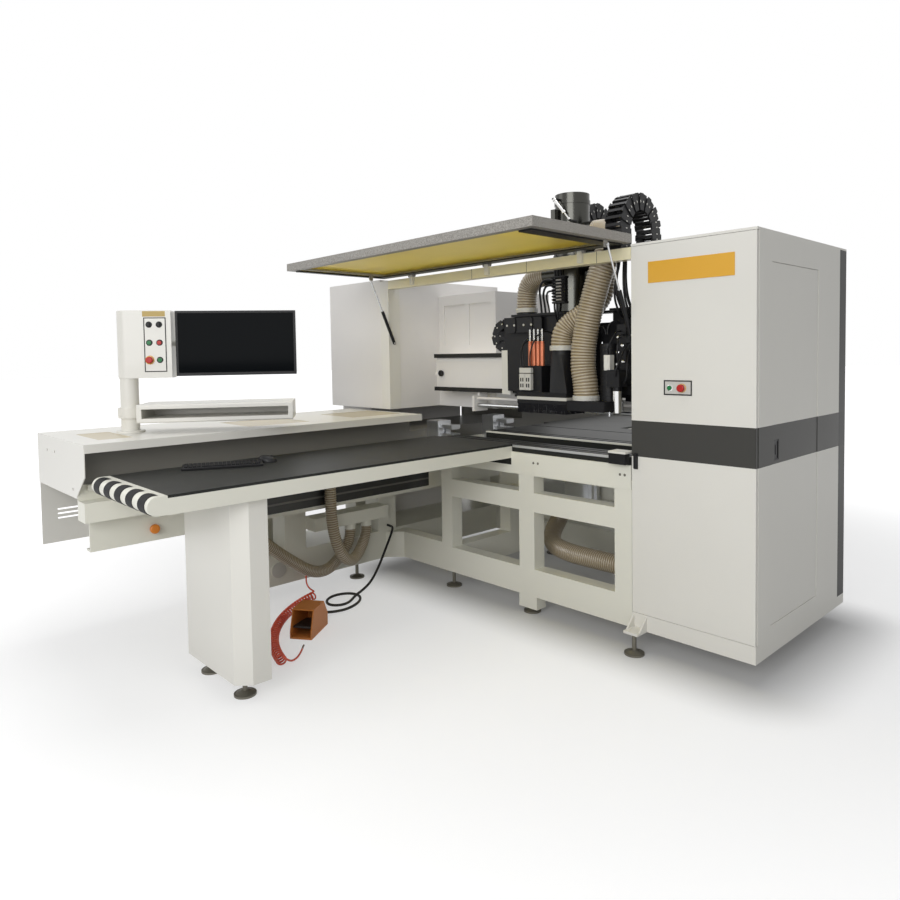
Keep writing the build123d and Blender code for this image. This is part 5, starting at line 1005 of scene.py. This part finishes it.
def buildMouse():
    # height falls away as the square root of one less a power of the plan distance, highest behind the middle
    length, width, height = mouse["size"]
    rings, segments = mouse["grid"]
    ring, angle = np.meshgrid(np.linspace(mouse["start"], 1.0, rings), circle(segments), indexing="ij")
    x = ring * np.cos(angle) * length / 2
    y = ring * np.sin(angle) * width / 2 * (1 - mouse["waist"] * np.cos(2 * angle))
    dome = np.sqrt(np.clip(1 - ring ** mouse["crown"], 0, 1)) * (1 - mouse["slope"] * np.cos(angle) * ring)
    z = mouse["foot"] + (height - mouse["foot"]) * dome
    shell = np.stack([x, y, z], axis=-1)
    foot = np.stack([x[-1:], y[-1:], np.zeros_like(z[-1:])], axis=-1)
    points = np.concatenate([shell, foot]).reshape(-1, 3)
    turn = facing(mouse["place"], mouse["heading"])
    faces = gridFaces(rings + 1, segments, wrapColumns=True).tolist()
    faces += [np.arange(segments)[::-1].tolist(), (rings * segments + np.arange(segments)).tolist()]
    putMesh("mouseShell", spots(turn(points)), faces, "blackPlastic", "frame", smooth=60)
    turned("mouseWheel", [(3, -4), (8, -3.2), (8.6, 0), (8, 3.2), (3, 4)], (22, 0, 25.5), "-Y", "rubber",
           "frame", turn=turn)


buildKeyboard()
buildMouse()
blocks("rackStrip", [(-1712, -1650, -1250, -30, 738, 744.8), (-1700, -1662, -1246, -34, 706, 738)],
       "dark", "frame", bevel=0.002)
turned("capDisc", [(2, 5.8), (46, 5.8), (48, 6.8), (48, 8.2), (40, 9), (20, 9.6), (2, 9.8)],
       (-1910, -930, 203.5), "X", "paleGrey", "frame", segments=40)
turned("lockKnob", [(8, -1), (8, 14), (22, 16), (24, 20), (24, 34), (20, 38), (4, 39)], (-1720, -1749, 646),
       "X", "orange", "frame")
blocks("beamSeams", [(x - 1.2, x + 1.2, -0.5, 0, 1977, 2036) for x in (-1119, -680, -203)], "dark",
       "frame", bevel=0)
blocks("deckStrips", [(-800, -108, -3, 0, 966, 980)], "aluminium", "frame", bevel=0.0008)
# a thin steel strip on the rear deck's edge, coloured pale cream for its bright reflection: a painted
# highlight
blocks("deckEdgeHighlight", [(-1424, -4, 427, 440, 972, 982.4)], "cream", "frame", bevel=0)
turned("apronScrews", [(7, -0.5), (7, 0.8), (5.5, 2.4), (2.6, 2.4), (2.6, 0.6), (0.6, 0.6)],
       [(x, -8, 888) for x in (-637, -604, -63, -35)], "-Y", "bronze", "frame", segments=16)
blocks("deckBox", [(-104, -5, -50, -9, 946, 1000), (-98, -11, -51.5, -50, 952, 994)], "dark", "frame")
blocks("deckBoxLid", [(-106, -3, -53, 30, 1000, 1012)], "white", "frame", bevel=0.003)
blocks("hoodRails", [(-2000, -50, -66, 8, 2052, 2059.9), (-128, -52, -700, -66, 2052, 2059.9),
                     (-2000, -1960, -700, -66, 2052, 2059.9)], "dark", "hood", bevel=0.001)
print("cabinet, console and tables dressed")

# floor, light and camera

studio = {"floorColour": (0.55, 0.55, 0.55), "floorHalf": 60.0, "glow": (0.05, 0.46, 0.95),
          "edges": (2.2, 6.0), "footMiddle": (0.36, 0.0, 0.0), "footHalf": (1.26, 0.53, 1.0),
          "footShadowSpread": 0.45, "worldStrength": 0.36, "worldLight": (0.97, 0.98, 1.0),
          "worldSeen": (1.0, 1.0, 1.0)}


def vectorNode(tree, operation, a, b=None):
    node = tree.nodes.new("ShaderNodeVectorMath")
    node.operation = operation
    for value, socket in ((a, node.inputs[0]), (b, node.inputs[1])):
        if isinstance(value, tuple):
            socket.default_value = value
        elif value is not None:
            wire(tree, value, socket)
    return node.outputs["Value" if operation == "LENGTH" else "Vector"]


def rampNode(tree, value, span, levels):
    # eases from one level to the other over a span
    node = tree.nodes.new("ShaderNodeMapRange")
    node.interpolation_type = "SMOOTHSTEP"
    wire(tree, value, node.inputs["Value"])
    setInputs(node, dict(zip(("From Min", "From Max", "To Min", "To Max"), (*span, *levels))))
    return node.outputs[0]


def seenRay(tree):
    # one for rays that reach the camera straight, in a mirror or through glass
    path = tree.nodes.new("ShaderNodeLightPath")
    seen = mathNode(tree, "MAXIMUM", path.outputs["Is Camera Ray"], path.outputs["Is Transmission Ray"])
    return mathNode(tree, "MAXIMUM", seen, path.outputs["Is Glossy Ray"])


def buildStudio():
    # the backdrop reads white where it is seen and lights the rest less; the floor glows more further out and
    # less under the machine, a painted shadow
    side = studio["floorHalf"]
    plane = np.array([(-side, -side, 0), (side, -side, 0), (side, side, 0), (-side, side, 0)])
    paints["floor"] = finish("paleFloor", studio["floorColour"], 0.7, bump=0.0, dust=0.0, drift=0.02,
                             specular=0.1)
    tree = paints["floor"].node_tree
    shader = tree.nodes["Principled BSDF"]
    setInputs(shader, {"Emission Strength": 1.0})
    where = tree.nodes.new("ShaderNodeTexCoord").outputs["Object"]
    away = vectorNode(tree, "LENGTH", where)
    rise = rampNode(tree, away, studio["edges"], studio["glow"][1:])
    # nearer in, the glow drops towards the footprint of the frame and cabinet: a painted contact shadow under
    # the machine
    beside = vectorNode(tree, "SUBTRACT", vectorNode(tree, "ABSOLUTE", vectorNode(
        tree, "SUBTRACT", where, studio["footMiddle"])), studio["footHalf"])
    gap = vectorNode(tree, "LENGTH", vectorNode(tree, "MAXIMUM", beside, (0, 0, 0)))
    paintedShadow = rampNode(tree, gap, (0.0, studio["footShadowSpread"]), (studio["glow"][0] / studio["glow"][1], 1.0))
    lift = mathNode(tree, "MULTIPLY", rise, paintedShadow)
    glow = greyNode(tree, mathNode(tree, "MULTIPLY", seenRay(tree), lift))
    wire(tree, glow, shader.inputs["Emission Color"])
    putMesh("floor", plane, [[0, 1, 2, 3]], "floor", None, smooth=0)
    world = bpy.data.worlds.new("studioWorld")
    bpy.context.scene.world = world
    world.use_nodes = True
    tree = world.node_tree
    back = tree.nodes["Background"]
    seen = seenRay(tree)
    wire(tree, mixColour(tree, seen, studio["worldLight"], studio["worldSeen"]), back.inputs["Color"])
    spare = mathNode(tree, "MULTIPLY", seen, 1 - studio["worldStrength"])
    wire(tree, mathNode(tree, "ADD", spare, studio["worldStrength"]), back.inputs["Strength"])


def stand(obj, across, up, back, place):
    # sets an object on its own three directions, at a place
    turn = np.eye(4)
    turn[:3] = np.column_stack([across, up, back, place])
    obj.matrix_world = Matrix(turn.tolist())


def softbox(name, place, aim, size, power):
    data = bpy.data.lights.new(name, "AREA")
    data.shape = "RECTANGLE"
    data.size, data.size_y = size
    data.energy = power
    back = np.subtract(place, aim)
    back /= np.linalg.norm(back)
    across = np.cross((0, 0, 1), back)
    across /= np.linalg.norm(across)
    stand(newObject(name, data), across, np.cross(back, across), back, place)


# place, aim, size and watts
lights = {
    "keyLight": ((3.0, -6.4, 2.9), (-0.2, 0.2, 1.2), (4.5, 3.0), 205),
    "fillLight": ((-5.0, -5.5, 4.0), (-0.5, -1.0, 0.8), (4.0, 3.0), 50),
    "topLight": ((-0.4, -0.2, 6.0), (-0.4, 0.0, 1.0), (5.0, 5.0), 150),
}
buildStudio()
for name, values in lights.items():
    softbox(name, *values)

photoCamera = {"place": (2.971, -3.652, 1.516), "yaw": 46.732, "pitch": -2.618, "roll": -0.901,
               "lens": 28.165, "shiftY": -0.0706, "sensor": 36.0}


def buildCamera():
    yaw, pitch, roll = (math.radians(photoCamera[k]) for k in ("yaw", "pitch", "roll"))
    ahead = np.array((-math.sin(yaw) * math.cos(pitch), math.cos(yaw) * math.cos(pitch), math.sin(pitch)))
    right = np.array((math.cos(yaw), math.sin(yaw), 0.0))
    up = np.cross(right, ahead)
    data = bpy.data.cameras.new("photoCamera")
    data.sensor_width = photoCamera["sensor"]
    data.lens = photoCamera["lens"]
    data.shift_y = photoCamera["shiftY"]
    camera = newObject("photoCamera", data)
    stand(camera, right * math.cos(roll) + up * math.sin(roll), up * math.cos(roll) - right * math.sin(roll),
          -ahead, photoCamera["place"])
    bpy.context.scene.camera = camera


buildCamera()
bpy.context.scene.view_settings.view_transform = "Standard"

print("scene ready")
